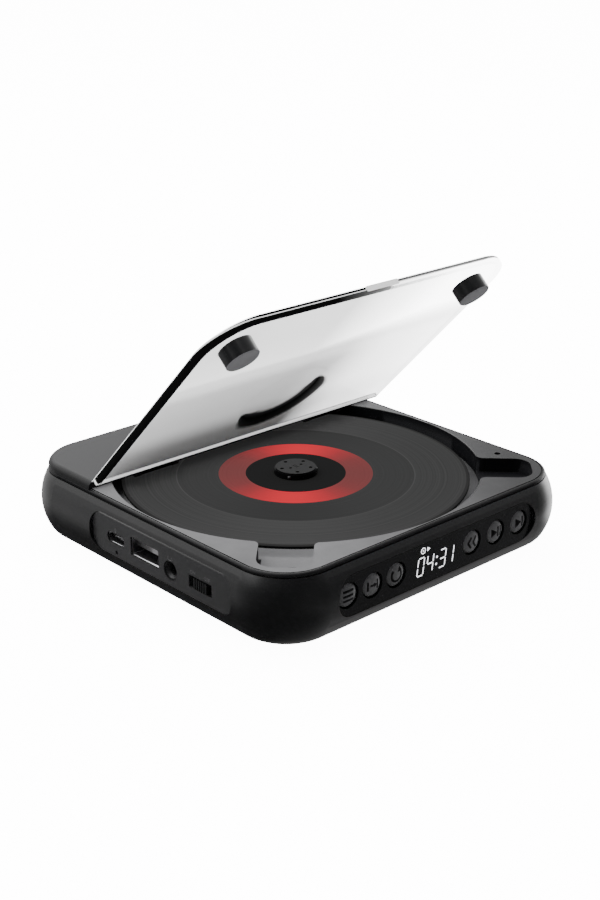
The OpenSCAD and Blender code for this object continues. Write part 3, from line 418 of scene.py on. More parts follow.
# A pad's end is painted grey for the floor that it mirrors. The rest of the pad is black.
pad_end_painted_reflection = plastic("pad_end_painted_reflection", (0.10, 0.10, 0.104), 0.5, specular=0.0, grain_size=0.3)
rim_satin = plastic("rim_satin", (0.006, 0.006, 0.0065), 0.4, specular=0.1, grain_size=0.3)
hub_satin = plastic("hub_satin", (0.004, 0.004, 0.0044), 0.38, specular=0.03, grain_size=0.3)
inner_black = plastic("inner_black", (0.006, 0.006, 0.007), 0.5, specular=0.4)
gear_ivory = plastic("gear_ivory", (0.62, 0.58, 0.47), 0.45)
board_green = plastic("board_green", (0.012, 0.085, 0.045), 0.35, grain_size=3.0, haze=0.15)
foot_rubber = plastic(
    "foot_rubber", (0.012, 0.012, 0.012), 0.75, specular=0.3, grain_size=0.6, depth=0.05
)
mark_black = plastic("mark_black", (0.0015, 0.0015, 0.0015), 0.6, specular=0.05)
mark_grey = plastic("mark_grey", (0.06, 0.06, 0.062), 0.5, specular=0.3)
print("Plastics:", len(bpy.data.materials))

# %% [markdown]
# ## Metals
# Sockets, pins, rods and the chassis are plated steel. A noise that is stretched along X gives the drawn
# lines, which move the colour and the roughness together.

# %% Metals
LINE_STRETCH = (90.0, 900.0, 900.0)
LINE_SCALE = 4.0
LINE_TINT = 0.85
LINE_ROUGH = 0.2


def drawn_metal(name, colour, rough):
    """A drawn or rolled metal with fine lines along X."""
    material, tree, shader = new_finish(name)
    mapping = tree.nodes.new("ShaderNodeMapping")
    feed(tree, mapping.inputs, {"Vector": object_place(tree), "Scale": LINE_STRETCH})
    lines = noise_node(tree, mapping.outputs[0], LINE_SCALE, detail=3.0)
    feed(tree, shader.inputs, {
        "Base Color": ramp_node(tree, lines, [(0.25, [c * LINE_TINT for c in colour]), (0.75, colour)]),
        "Roughness": math_node(tree, "MULTIPLY_ADD", lines, LINE_ROUGH, rough - LINE_ROUGH / 2),
        "Metallic": 1.0,
    })
    return material


bright_steel = drawn_metal("bright_steel", (0.62, 0.62, 0.63), 0.25)
socket_steel = drawn_metal("socket_steel", (0.42, 0.42, 0.43), 0.32)
sheet_steel = drawn_metal("sheet_steel", (0.46, 0.47, 0.48), 0.38)
motor_case = drawn_metal("motor_case", (0.5, 0.51, 0.53), 0.3)
dark_steel = drawn_metal("dark_steel", (0.05, 0.05, 0.052), 0.45)
cell_foil = drawn_metal("cell_foil", (0.42, 0.43, 0.45), 0.45)
print("Metals made")

# %% [markdown]
# ## Clear plastic
# The lid is a thin sheet of clear acrylic with a rim. Seen against a white room, much of what shows is its
# edges, and here these are painted. Painted reflection makes the rim dark on the left, where it gathers the
# dark of the room, and fades it to white on the right, and a painted grey deepens on the sheet towards its
# hinge. All of this follows the place on the lid, so a group first turns Object coordinates into places on
# the lid's plane: how far in from the edge, across, along and through it.

# %% Lid plane group
joints = {joint["name"]: joint for joint in frame["record"]["behaviour"]["joints"]}
HINGE_PLACE = Vector(joints["lid_hinge"]["pos_m"])
LID_OPEN = math.radians(46)
LID_ALONG = Vector((0, -math.cos(LID_OPEN), math.sin(LID_OPEN)))
LID_OUT = Vector((0, math.sin(LID_OPEN), math.cos(LID_OPEN)))
LID_HALF_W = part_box("lid")[1].x
LID_REACH = 97.6 * MM
LID_CORNER_R = 17 * MM

plane, _, plane_out = new_group(
    "lid_plane", {}, ["Edge", "Across", "Along", "Through", "Turn", "Crescent", "Glint"]
)
plane_math = partial(math_node, plane)
plane_ramp = partial(ramp_node, plane)
plane_place = object_place(plane)
plane_x = split(plane, plane_place)["X"]
plane_v = plane_math("SUBTRACT", along_axis(plane, plane_place, LID_ALONG), HINGE_PLACE.dot(LID_ALONG))
plane_w = plane_math("SUBTRACT", along_axis(plane, plane_place, LID_OUT), HINGE_PLACE.dot(LID_OUT))
over_x = plane_math("SUBTRACT", plane_math("ABSOLUTE", plane_x), LID_HALF_W - LID_CORNER_R)
over_v = plane_math("SUBTRACT", plane_v, LID_REACH - LID_CORNER_R)
corner_x = plane_math("MAXIMUM", over_x, 0.0)
corner_v = plane_math("MAXIMUM", over_v, 0.0)
round_part = length_of(plane, corner_x, corner_v)
flat_part = plane_math("MINIMUM", plane_math("MAXIMUM", over_x, over_v), 0.0)
inside = plane_math("SUBTRACT", LID_CORNER_R, plane_math("ADD", round_part, flat_part))
feed(plane, plane_out, {
    "Edge": plane_math("DIVIDE", inside, MM),
    "Across": plane_math("ADD", plane_math("DIVIDE", plane_x, 2 * LID_HALF_W), 0.5),
    "Along": plane_math("DIVIDE", plane_v, LID_REACH),
    "Through": plane_math("DIVIDE", plane_w, MM),
    "Turn": plane_math("DIVIDE", plane_math("ARCTAN2", corner_v, corner_x), math.pi / 2),
})
print("Group made:", plane.name)

# %% [markdown]
# The lid has a round dimple. Its wall bends the view, and this is painted: a dark crescent on one side and
# a thin bright glint on the other. Lengths are in millimetres here.

# %% Painted dimple crescent and glint
DIMPLE_ALONG = 30.4 * MM
DIMPLE_R = 15.3
DIMPLE_DARK = (0.5, -0.866)
CRESCENT_HALF = 8.0
GLINT_R = 17.8

dimple_x = plane_math("DIVIDE", plane_x, MM)
dimple_v = plane_math("DIVIDE", plane_math("SUBTRACT", plane_v, DIMPLE_ALONG), MM)
dimple_far = length_of(plane, dimple_x, dimple_v)
dimple_off = plane_math("ABSOLUTE", plane_math("SUBTRACT", dimple_far, DIMPLE_R))
turned_x = plane_math("MULTIPLY", dimple_x, DIMPLE_DARK[0])
turned_v = plane_math("MULTIPLY", dimple_v, DIMPLE_DARK[1])
dimple_side = plane_math("DIVIDE", plane_math("ADD", turned_x, turned_v), dimple_far)
dimple_shade = plane_ramp(dimple_side, [(0.0, 0.0), (0.16, 1.0)])
dimple_half = plane_ramp(dimple_side, [(0.0, 0.12), (0.2, 0.5), (0.5, 1.0)])
dimple_share = plane_math("DIVIDE", plane_math("DIVIDE", dimple_off, CRESCENT_HALF), dimple_half)
dimple_ring = plane_ramp(dimple_share, [(0.0, 1.0), (0.44, 0.96), (0.74, 0.0)])
glint_off = plane_math("ABSOLUTE", plane_math("SUBTRACT", dimple_far, GLINT_R))
glint_ring = plane_ramp(glint_off, [(0.0, 0.5), (0.3, 0.4), (0.8, 0.0)])
glint_side = plane_ramp(plane_math("MULTIPLY", dimple_side, -1.0), [(0.1, 0.0), (0.4, 1.0)])
feed(plane, plane_out, {
    "Crescent": plane_math("MULTIPLY", dimple_ring, dimple_shade),
    "Glint": plane_math("MULTIPLY", glint_ring, glint_side),
})
print("Dimple across in mm:", 2 * DIMPLE_R)

# %% [markdown]
# Now the lid's finish itself. First come its dark parts, all painted: painted reflection on the rim, a
# painted shadow strip at the hinge and the painted crescent. Then its bright ones, which are painted
# highlights: a fine line along the rim's edge, one above the hinge and the glint. The finger tab is painted
# white too.

# %% Lid rim and lines, painted dark and bright
RIM_SPAN = 5.0
LINE_LEVEL = (-1.3, 1.15)
LINE_HALF = (-0.25, 0.45)
RIM_WALL = 0.75
TAB_EDGE = -0.4

clear_lid, lid_tree, lid_shader = new_finish("clear_lid")
lid_math = partial(math_node, lid_tree)
lid_ramp = partial(ramp_node, lid_tree)
lid_at = group_node(lid_tree, plane, {})
lid_across, lid_along, lid_edge, lid_turn = [lid_at[n] for n in ("Across", "Along", "Edge", "Turn")]
rim_near = lid_ramp(lid_math("DIVIDE", lid_edge, RIM_SPAN), [(0.0, 1.0), (0.4, 1.0), (0.7, 0.0)])
rim_inner = lid_ramp(
    lid_across,
    [(0.0, 1.0), (0.36, 1.0), (0.44, 0.85), (0.5, 0.6), (0.54, 0.2), (0.7, 0.06), (1.0, 0.04)],
)
rim_outer = lid_ramp(
    lid_across, [(0.0, 1.0), (0.46, 1.0), (0.5, 0.85), (0.9, 0.75), (0.97, 0.4), (1.0, 0.05)]
)
line_place = lid_math("MULTIPLY_ADD", lid_turn, *LINE_LEVEL)
line_off = lid_math("SUBTRACT", lid_at["Through"], line_place)
outside = lid_math("GREATER_THAN", line_off, 0.0)
inside_part = lid_math("MULTIPLY", rim_inner, lid_math("SUBTRACT", 1.0, outside))
rim_fade = lid_math("ADD", lid_math("MULTIPLY", rim_outer, outside), inside_part)
# A painted shadow strip along the hinge.
hinge_dark = lid_ramp(lid_along, [(0.0, 1.0), (0.03, 1.0), (0.034, 0.0)])
rim_dark = lid_math("MAXIMUM", lid_math("MULTIPLY", rim_near, rim_fade), hinge_dark)
lid_dark = lid_math("MAXIMUM", rim_dark, lid_at["Crescent"])

line_half = lid_math("MULTIPLY_ADD", lid_turn, *LINE_HALF)
line_share = lid_math("DIVIDE", lid_math("ABSOLUTE", line_off), line_half)
edge_line = lid_ramp(line_share, [(0.0, 1.0), (0.6, 1.0), (1.0, 0.0)])
edge_line = lid_math("MULTIPLY", edge_line, lid_math("LESS_THAN", lid_edge, RIM_WALL))
# A painted highlight line above the hinge.
hinge_line = lid_ramp(lid_along, [(0.032, 0.0), (0.036, 1.0), (0.043, 1.0), (0.047, 0.0)])
lid_lines = lid_math("MAXIMUM", lid_math("MAXIMUM", edge_line, hinge_line), lid_at["Glint"])
lid_bright = lid_math("MAXIMUM", lid_lines, lid_math("LESS_THAN", lid_edge, TAB_EDGE))
print("Lid rim and lines made")

# %% [markdown]
# Next comes how much the lid covers what is behind it, which sets how strongly its painted greys show. The
# sheet covers more on the left and towards the hinge, and little where the lid lies flat. Dark and bright
# parts cover fully. The two named strengths let a copy of this finish turn the painted greys down.

# %% Lid cover
DARK_STRENGTH = 3.0

sheet_side = lid_ramp(lid_across, [(0.0, 0.86), (0.45, 0.84), (0.66, 0.5), (0.8, 0.12), (1.0, 0.06)])
hinge_grey = lid_ramp(lid_along, [(0.0, 1.0), (0.5, 1.0), (0.6, 0.92), (0.8, 0.0)], "EASE")
hinge_side = lid_ramp(lid_across, [(0.0, 1.0), (0.7, 1.0), (1.0, 0.95)])
lid_geometry = lid_tree.nodes.new("ShaderNodeNewGeometry").outputs
lid_level = lid_math("ABSOLUTE", split(lid_tree, lid_geometry["Normal"])["Z"])
lid_tilt = lid_ramp(lid_level, [(0.75, 1.0), (0.95, 0.2)])
sheet_alpha = lid_math("MAXIMUM", sheet_side, lid_math("MULTIPLY", hinge_grey, hinge_side))
sheet_alpha = lid_math("MULTIPLY", lid_math("MULTIPLY", sheet_alpha, lid_tilt), 1.0)
sheet_alpha.node.name = "sheet_strength"
dark_alpha = lid_math("MULTIPLY", lid_dark, DARK_STRENGTH)
dark_alpha.node.name = "dark_strength"
full_alpha = lid_math("MAXIMUM", lid_math("MINIMUM", dark_alpha, 1.0), lid_bright)
lid_alpha = lid_math("MAXIMUM", sheet_alpha, full_alpha)
lid_front = lid_math("SUBTRACT", 1.0, lid_geometry["Backfacing"])
put(lid_tree, lid_math("MULTIPLY", lid_alpha, lid_front), lid_shader.inputs["Alpha"])
print("Lid cover made")

# %% [markdown]
# The sheet's tone is painted reflection, and it rises to the right. A soft painted glow lies over it,
# strongest on the right and half way up, and leaves the dark and bright parts alone.

# %% Lid painted tone and glow
LID_BLACK = (0.003, 0.003, 0.003, 1)
LID_WHITE = (0.9, 0.9, 0.9, 1)

side_tone = lid_ramp(lid_across, [(0.0, 0.43), (0.5, 0.53), (0.75, 0.9), (1.0, 0.9)])
hinge_tone = lid_ramp(
    lid_along, [(0.0, 0.9), (0.14, 0.92), (0.3, 1.0), (0.5, 1.0), (0.65, 0.8)], "EASE"
)
lid_colour = mixed(lid_tree, lid_dark, lid_math("MULTIPLY", side_tone, hinge_tone), LID_BLACK)
lid_colour = mixed(lid_tree, lid_bright, lid_colour, LID_WHITE)
# The painted glow is an emission over the sheet, set by the place on the lid.
painted_glow_rise = lid_ramp(
    lid_along, [(0.0, 0.03), (0.14, 0.03), (0.32, 0.44), (0.5, 0.5), (0.85, 0.0)], "EASE"
)
painted_glow_side = lid_ramp(lid_across, [(0.0, 0.9), (0.5, 1.0), (0.7, 2.0), (1.0, 2.0)])
right_side = lid_ramp(lid_across, [(0.6, 0.0), (0.76, 1.8), (1.0, 3.0)])
right_low = lid_ramp(lid_along, [(0.0, 1.0), (0.5, 1.0), (0.9, 0.0)], "EASE")
right_painted_glow = lid_math("MULTIPLY", right_side, right_low)
painted_glow = lid_math("ADD", lid_math("MULTIPLY", painted_glow_rise, painted_glow_side), right_painted_glow)
painted_glow_clear = lid_math("SUBTRACT", 1.0, lid_math("MAXIMUM", lid_dark, lid_bright))
lid_effect = group_node(lid_tree, grain, {"Roughness": 0.12, "Haze": 0.05})
feed(lid_tree, lid_shader.inputs, {
    "Base Color": lid_colour,
    "Roughness": lid_effect["Roughness"],
    "Specular IOR Level": 0.0,
    "Emission Color": lid_math("MULTIPLY", painted_glow, painted_glow_clear),
    "Emission Strength": 1.0,
})
print("Lid colour made")

# %% [markdown]
# Only the camera sees this finish. All other light passes straight through the lid, so that it throws no
# shadow on the disc. The lid's outer face is a copy with fainter painted greys and no painted glow, so that
# the lid looks clear from behind and from above.

# %% Lid shader and outer face
OUTER_SHEET = 0.06
OUTER_DARK = 0.4

lid_pass = lid_tree.nodes.new("ShaderNodeBsdfTransparent")
lid_seen = lid_tree.nodes.new("ShaderNodeLightPath").outputs["Is Camera Ray"]
lid_mix = lid_tree.nodes.new("ShaderNodeMixShader")
lid_ends = (lid_math("SUBTRACT", 1.0, lid_seen), lid_shader.outputs[0], lid_pass.outputs[0])
for end, socket in zip(lid_ends, lid_mix.inputs):
    lid_tree.links.new(end, socket)
lid_tree.links.new(lid_mix.outputs[0], lid_tree.nodes["Material Output"].inputs["Surface"])

clear_outer = clear_lid.copy()
clear_outer.name = "clear_lid_outer"
outer_nodes = clear_outer.node_tree.nodes
outer_nodes["sheet_strength"].inputs[1].default_value = OUTER_SHEET
outer_nodes["dark_strength"].inputs[1].default_value = OUTER_DARK
outer_nodes["Principled BSDF"].inputs["Emission Strength"].default_value = 0.0
print("Finishes made:", clear_lid.name, clear_outer.name)

# %% [markdown]
# ## The disc
# The disc looks like a small record: fine dark grooves, a darker band inside them, a red printed ring and a
# black middle. All of it follows the radius, so one ramp over the radius gives the zones, and a noise read
# along the radius alone gives the grooves. A record's sheen is two opposite fans of light. Here it is
# painted, as a wave over the angle that mixes a dim and a lit set of tones. A faint painted glow of the
# same colour stands for the light that the clear lid lets through, and the plain gloss is left out, because
# it hides the grooves.

# %% Disc zones
DISC_R = (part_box("disc")[1].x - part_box("disc")[0].x) / 2
RED_IN = 17.3 * MM
RED_OUT = 26.6 * MM
DARK_BAND = 41.0 * MM
BAND_LINE = 0.35 * MM
GROOVE_END = 58.6 * MM
# The printed ring's red where the painted sheen is lit, and where it is dim.
RING_LIT_RED = (0.245, 0.011, 0.016)
RING_DIM = (0.06, 0.018, 0.018)
ZONES = [r / DISC_R for r in (0.0, RED_IN, RED_OUT, DARK_BAND, DARK_BAND + BAND_LINE, GROOVE_END)]
DIM_TONES = [0.006, RING_DIM, 0.016, 0.022, 0.018, 0.011]
LIT_TONES = [0.006, RING_LIT_RED, 0.014, 0.023, 0.022, 0.012]
SHEEN_TURN = math.radians(44)

disc_finish, disc_tree, disc_shader = new_finish("disc_grooves")
disc_math = partial(math_node, disc_tree)
disc_ramp = partial(ramp_node, disc_tree)
disc_round = group_node(disc_tree, radius, {})
disc_share = disc_math("DIVIDE", disc_round["Radius"], DISC_R)
zones_dim = disc_ramp(disc_share, list(zip(ZONES, DIM_TONES)), "CONSTANT")
zones_lit = disc_ramp(disc_share, list(zip(ZONES, LIT_TONES)), "CONSTANT")
# The sheen is painted: dim and lit tones mixed by the angle round the disc.
sheen_angle = disc_math("SUBTRACT", disc_round["Angle"], SHEEN_TURN)
sheen_wave = disc_math("COSINE", disc_math("MULTIPLY", sheen_angle, 2.0))
sheen_share = disc_math("MULTIPLY_ADD", sheen_wave, 0.5, 0.5)
sheen_tone = disc_ramp(sheen_share, [(0.0, 0.0), (0.3, 0.06), (0.62, 0.3), (0.85, 0.68), (1.0, 1.0)])
disc_zones = mixed(disc_tree, sheen_tone, zones_dim, zones_lit)
print("Disc zones in mm:", [round(r / MM, 1) for r in (RED_IN, RED_OUT, DARK_BAND, GROOVE_END)])

# %% Disc grooves
GROOVE_SCALE = 1400.0
GROOVE_DEPTH = 0.05 * MM
GROOVE_ROUGH = (0.12, 0.26)
# A painted glow: the disc gives off light in its own colours.
DISC_GLOW = 1.2

groove_node = disc_tree.nodes.new("ShaderNodeTexNoise")
groove_node.noise_dimensions = "1D"
feed(disc_tree, groove_node.inputs, {"W": disc_round["Radius"], "Scale": GROOVE_SCALE, "Detail": 3.0})
groove_line = groove_node.outputs[0]
groove_tone = disc_ramp(groove_line, [(0.3, 0.84), (0.7, 1.16)])
groove_share = disc_ramp(
    disc_share, [(0.0, 0.15), (RED_OUT / DISC_R, 0.3), (DARK_BAND / DISC_R, 0.65)], "CONSTANT"
)
disc_colour = mixed(disc_tree, groove_share, disc_zones, groove_tone, "MULTIPLY")
feed(disc_tree, disc_shader.inputs, {
    "Base Color": disc_colour,
    "Emission Color": disc_colour,
    "Emission Strength": DISC_GLOW,
    "Roughness": disc_math("MULTIPLY_ADD", groove_line, *GROOVE_ROUGH),
    "Specular IOR Level": 0.0,
})
add_bump(disc_tree, disc_shader, groove_line, GROOVE_DEPTH)
print("Finish made:", disc_finish.name)

# %% [markdown]
# ## Lit digits
# The display glows white through the dark window. The lit parts are small raised pieces on the window,
# so a plain emission is enough; a faint noise keeps the glow from being perfectly even.

# %% Glow finish
GLOW_SCALE = 400.0
GLOW_STRENGTH = 1.4

glow, glow_tree, glow_shader = new_finish("digit_glow")
glow_noise = noise_node(glow_tree, object_place(glow_tree), GLOW_SCALE)
feed(glow_tree, glow_shader.inputs, {
    "Base Color": (0.8, 0.8, 0.8, 1),
    "Emission Color": ramp_node(glow_tree, glow_noise, [(0.3, (0.88, 0.93, 1.0)), (0.7, (1.0, 1.0, 1.0))]),
    "Emission Strength": GLOW_STRENGTH,
})
print("Finish made:", glow.name)

# %% [markdown]
# ## Pocket shade lines
# A thin dark line of painted shade runs round the floor of each pocket, where the pad's seat meets the
# wall. It could be drawn in the deck's finish, but its course is already in the CAD deck, so the floors are
# copied out of it, inset, and only their borders along the walls are kept, lifted just above the floor as a
# thin dark sheet.

# %% Pocket shade lines
POCKET_FLOOR = (21.4 * MM, 21.8 * MM)
POCKET_INNER = 38 * MM
PAD_MIDDLE = Vector((51.5, -54.6)) * MM
SEAT_R = 5.6 * MM
ENTRY_R = 65.5 * MM
LINE_WIDTH = 0.9 * MM
LINE_LIFT = 0.03 * MM
LINE_THICKNESS = 0.04 * MM


def off_the_floor(place):
    """Whether a place is anywhere but on a pocket's floor."""
    level = POCKET_FLOOR[0] < place.z < POCKET_FLOOR[1]
    return not (level and abs(place.x) > POCKET_INNER and place.y < -POCKET_INNER)


def seat_or_entry(place):
    """Whether a place is on the round seat in a pocket's middle, or on its open side towards the disc."""
    on_seat = (Vector((abs(place.x), place.y)) - PAD_MIDDLE).length < SEAT_R
    return on_seat or place.xy.length < ENTRY_R


# The pocket lines are a thin dark sheet of painted shade on the pocket floors.
pocket_shade_lines = copied("deck")
choose(pocket_shade_lines, off_the_floor)
bpy.ops.object.mode_set(mode="EDIT")
bpy.ops.mesh.delete(type="VERT")
join_triangles()
bpy.ops.mesh.select_all(action="SELECT")
bpy.ops.mesh.inset(thickness=LINE_WIDTH, depth=0)
bpy.ops.mesh.delete(type="FACE")
bpy.ops.object.mode_set(mode="OBJECT")
choose(pocket_shade_lines, seat_or_entry)
bpy.ops.object.mode_set(mode="EDIT")
bpy.ops.mesh.delete(type="VERT")
bpy.ops.mesh.select_all(action="SELECT")
bpy.ops.transform.translate(value=(0, 0, LINE_LIFT))
bpy.ops.object.mode_set(mode="OBJECT")
thicken(pocket_shade_lines, LINE_THICKNESS)
settle(pocket_shade_lines, "pocket_shade_lines", node_body["deck"], well_black)
print("Pocket lines made:", len(pocket_shade_lines.data.polygons), "faces")

# %% [markdown]
# ## Dressing the CAD pieces
# Curved and visible pieces get soft skins. Hidden pieces keep their CAD mesh and only take a finish.

# %% Skins
SKINS = {
    "lower_shell": case_satin, "rear_cover": cover_satin, "deck": deck_satin, "front_window": window_tint,
    "port_panel": panel_satin, "lid": clear_lid, "lid_pads": pad_satin, "disc": disc_finish,
    "platter": hub_satin, "hub_cap": hub_satin, "chuck_balls": dark_steel, "feet": foot_rubber,
    "usb_c_socket": socket_steel, "usb_a_socket": socket_steel, "headphone_jack": inner_black,
    "switch_knob": pad_satin, "charge_light": well_black, "hinge_pins": bright_steel,
    "striker_plates": dark_steel, "case_screws": bright_steel,
}
KEYS = ["key_menu", "key_section", "key_repeat", "key_back", "key_play", "key_next"]
skins = {node: skin(node, finish) for node, finish in SKINS.items()}
for key in KEYS:
    skins[key] = skin(key, key_satin)
print("Skins made:", len(skins))

# %% [markdown]
# Some pieces have a second finish on part of their faces. On the deck the walls of the well and the right
# pocket are black as painted shade, a narrow band along the outline is dark, and the level top is painted
# grey for the room that it mirrors. The sides of the rear cover match that dark band, a pad's end is
# painted grey for the floor that it mirrors, the disc's edge is black as painted shade, and the lid has its
# clear outer face. The disc's painted glow is kept off its neighbours.

# %% Second finishes
WALL_UPRIGHT = 0.3
WALL_R = 70 * MM
WALL_SPAN = 62 * MM
TOP_LEVEL = 0.95
COVER_LEVEL = 0.8
FACING = 0.5
RIM_WIDTH = 1.3 * MM
DECK_CORNER_R = 17.3 * MM
DECK_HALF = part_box("deck")[1].x
DECK_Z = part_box("deck")[1].z
POCKET_LEAST = 0.4 * MM


def from_deck_edge(place):
    """How far a place is inside the deck's rounded outline."""
    over = Vector([max(abs(part) - DECK_HALF + DECK_CORNER_R, 0.0) for part in place.xy])
    return DECK_CORNER_R - over.length


def upright(face):
    """Whether a face is part of a wall."""
    return abs(face.normal.z) < WALL_UPRIGHT


def deck_finish(face):
    """The number of a deck face's finish: 1, painted shade, in the well and right pocket, 2, painted grey,
    on top, 3 at the outline.
    """
    x, y, z = face.center
    inner = face.center.xy.length < WALL_R or max(abs(x), abs(y)) < WALL_SPAN
    if inner and (upright(face) or (x > 0 and z < DECK_Z - POCKET_LEAST)):
        return 1
    if from_deck_edge(face.center) < RIM_WIDTH:
        return 3
    return 2 if face.normal.z > TOP_LEVEL else 0


# Black on the deck's well and right pocket and on the disc's edge is painted shade. Grey on the deck's top
# and on a pad's end is painted reflection.
refinish(skins["deck"], [well_black, deck_top_painted_reflection, rim_satin], deck_finish)
refinish(skins["rear_cover"], [rim_satin], lambda face: int(face.normal.z < COVER_LEVEL))
refinish(skins["lid_pads"], [pad_end_painted_reflection], lambda face: int(face.normal.dot(LID_OUT) < -FACING))
refinish(skins["disc"], [well_black], lambda face: int(upright(face)))
refinish(skins["lid"], [clear_outer], lambda face: int(face.normal.dot(LID_OUT) > FACING))
skins["disc"].visible_diffuse = False
print("Deck finishes:", [finish.name for finish in skins["deck"].data.materials])

# %% Finishes of hidden pieces
HIDDEN = {
    "main_board": board_green, "key_board": board_green, "battery": cell_foil, "chassis": sheet_steel,
    "spindle_motor": motor_case, "feed_motor": motor_case, "guide_rods": bright_steel,
    "gear_post": bright_steel, "spindle_shaft": bright_steel, "board_screws": bright_steel,
    "lid_magnets": dark_steel, "feed_gear": gear_ivory, "feed_pinion": gear_ivory, "rack": gear_ivory,
    "sled": inner_black, "lens_holder": inner_black, "lid_sensor": inner_black, "switch_body": inner_black,
    "display_module": inner_black, "dampers": foot_rubber,
}
for node, finish in HIDDEN.items():
    paint(frame["nodes"][node], finish)
print("Hidden pieces painted:", len(HIDDEN))

# %% [markdown]
# ## Printed marks and lit digits
# Marks are drawn flat, in millimetres round the origin, from small planes, triangles and spun arcs. A
# mark is then turned to face out of its surface, pressed onto it with a Shrinkwrap modifier and given a
# little thickness, so that it follows the curve of a key or of the window and never floats above it.

# %% Flat shapes
BAR_ROUND = 0.3
TRIANGLE_ROUND = 0.12
CORNER_STEPS = 2
ARC_STEP = 12
ARC_LEAST = 6
ARC_GAP = 0.001 * MM
PLANE_HALF = 0.5 * MM


def laid(shape, x, y, turn):
    """Lays a flat shape at x, y in millimetres, turned by degrees."""
    shape.location = (x * MM, y * MM, 0)
    shape.rotation_euler = (0, 0, math.radians(turn))
    return shape


def bar(width, height, x=0.0, y=0.0, turn=0.0):
    """A flat bar with cut corners, centred at x, y."""
    bpy.ops.mesh.primitive_plane_add(size=MM)
    shape = bpy.context.active_object
    bpy.ops.object.mode_set(mode="EDIT")
    bpy.ops.transform.resize(value=(width, height, 1))
    bpy.ops.mesh.bevel(offset=BAR_ROUND * min(width, height) * MM, affect="VERTICES", segments=CORNER_STEPS)
    bpy.ops.object.mode_set(mode="OBJECT")
    return laid(shape, x, y, turn)


def triangle(size, x=0.0, y=0.0, turn=0.0):
    """A flat triangle that points along +X before it is turned."""
    bpy.ops.mesh.primitive_circle_add(vertices=3, radius=size * MM, fill_type="NGON")
    shape = bpy.context.active_object
    bpy.ops.object.mode_set(mode="EDIT")
    bpy.ops.mesh.bevel(offset=TRIANGLE_ROUND * size * MM, affect="VERTICES", segments=CORNER_STEPS)
    bpy.ops.object.mode_set(mode="OBJECT")
    return laid(shape, x, y, turn - 90)


def arc(mid_r, width, start, sweep, x=0.0, y=0.0):
    """A flat arc band, spun from one edge of a plane; angles in degrees."""
    bpy.ops.mesh.primitive_plane_add(size=MM)
    shape = bpy.context.active_object
    bpy.ops.object.mode_set(mode="EDIT")
    bpy.ops.transform.resize(value=(width, 1, 1))
    bpy.ops.object.mode_set(mode="OBJECT")
    choose(shape, lambda place: place.y < 0)
    bpy.ops.object.mode_set(mode="EDIT")
    bpy.ops.mesh.delete(type="VERT")
    bpy.ops.mesh.select_all(action="SELECT")
    bpy.ops.transform.translate(value=(mid_r * MM, -PLANE_HALF, 0))
    steps = max(ARC_LEAST, int(sweep / ARC_STEP))
    bpy.ops.mesh.spin(steps=steps, angle=math.radians(sweep), center=(0, 0, 0), axis=(0, 0, 1))
    bpy.ops.mesh.select_all(action="SELECT")
    bpy.ops.mesh.remove_doubles(threshold=ARC_GAP)
    bpy.ops.mesh.normals_make_consistent(inside=False)
    bpy.ops.object.mode_set(mode="OBJECT")
    return laid(shape, x, y, start)


print("Flat shapes ready")

# %% Joining and pressing on
FACE_FRONT = (math.radians(90), 0, 0)
FACE_LEFT = (math.radians(90), 0, math.radians(-90))
STAND_OFF = 3 * MM
MARK_CUTS = 2
MARK_LIFT = 0.02
MARK_THICKNESS = 0.04


def joined(shapes):
    """Joins flat shapes into one object at the origin, all facing +Z."""
    bpy.ops.object.select_all(action="DESELECT")
    for shape in shapes:
        shape.select_set(True)
    bpy.context.view_layer.objects.active = shapes[0]
    bpy.ops.object.join()
    mark = bpy.context.active_object
    bpy.ops.object.transform_apply(location=True, rotation=True, scale=True)
    bpy.ops.object.mode_set(mode="EDIT")
    bpy.ops.mesh.select_all(action="SELECT")
    bpy.ops.mesh.quads_convert_to_tris()
    bpy.ops.mesh.subdivide(number_cuts=MARK_CUTS)
    bpy.ops.object.mode_set(mode="OBJECT")
    return mark


def press_on(mark, place, facing, target, lift=MARK_LIFT, thickness=MARK_THICKNESS):
    """Turns a mark to face the front or the left, and wraps it onto the target piece."""
    outward = Vector((0, -1, 0)) if facing is FACE_FRONT else Vector((-1, 0, 0))
    mark.location = place + outward * STAND_OFF
    mark.rotation_euler = facing
    pick(mark)
    bpy.ops.object.transform_apply(location=True, rotation=True, scale=True)
    wrap = mark.modifiers.new("wrap", "SHRINKWRAP")
    wrap.target = target
    wrap.wrap_method = "PROJECT"
    wrap.use_project_x = facing is FACE_LEFT
    wrap.use_project_y = facing is FACE_FRONT
    wrap.use_positive_direction = True
    wrap.use_negative_direction = False
    wrap.offset = lift * MM
    apply_modifier(mark, wrap)
    thicken(mark, thickness * MM)


print("Marks start off their surface by mm:", round(STAND_OFF / MM, 1))

# %% [markdown]
# ### Key marks
# The keys carry plain engraved signs: a list, a section between two stops, a loop, back, play and
# pause, and next.

# %% Key marks
SIGN_SCALE = 1.2


def key_mark(key):
    """The flat sign of one key."""
    if key == "key_menu":
        return joined([bar(3.6, 0.62, 0, y) for y in (-1.3, 0, 1.3)])
    if key == "key_section":
        stops = [bar(0.55, 2.6, x) for x in (-1.7, 1.7)]
        return joined(stops + [bar(1.8, 0.55), triangle(0.8, 0.75)])
    if key == "key_repeat":
        return joined([arc(1.75, 0.6, 60, 290), triangle(1.0, 1.15, 1.35, -30)])
    if key == "key_back":
        slopes = ((0.75, -40), (-0.75, 40))
        return joined([bar(0.6, 2.1, x, y, turn) for x in (-1.0, 0.9) for y, turn in slopes])
    if key == "key_play":
        return joined([triangle(1.5, -1.0), bar(0.6, 3.0, 0.9), bar(0.6, 3.0, 2.0)])
    return joined([triangle(1.6, -0.6), bar(0.65, 3.0, 1.5)])


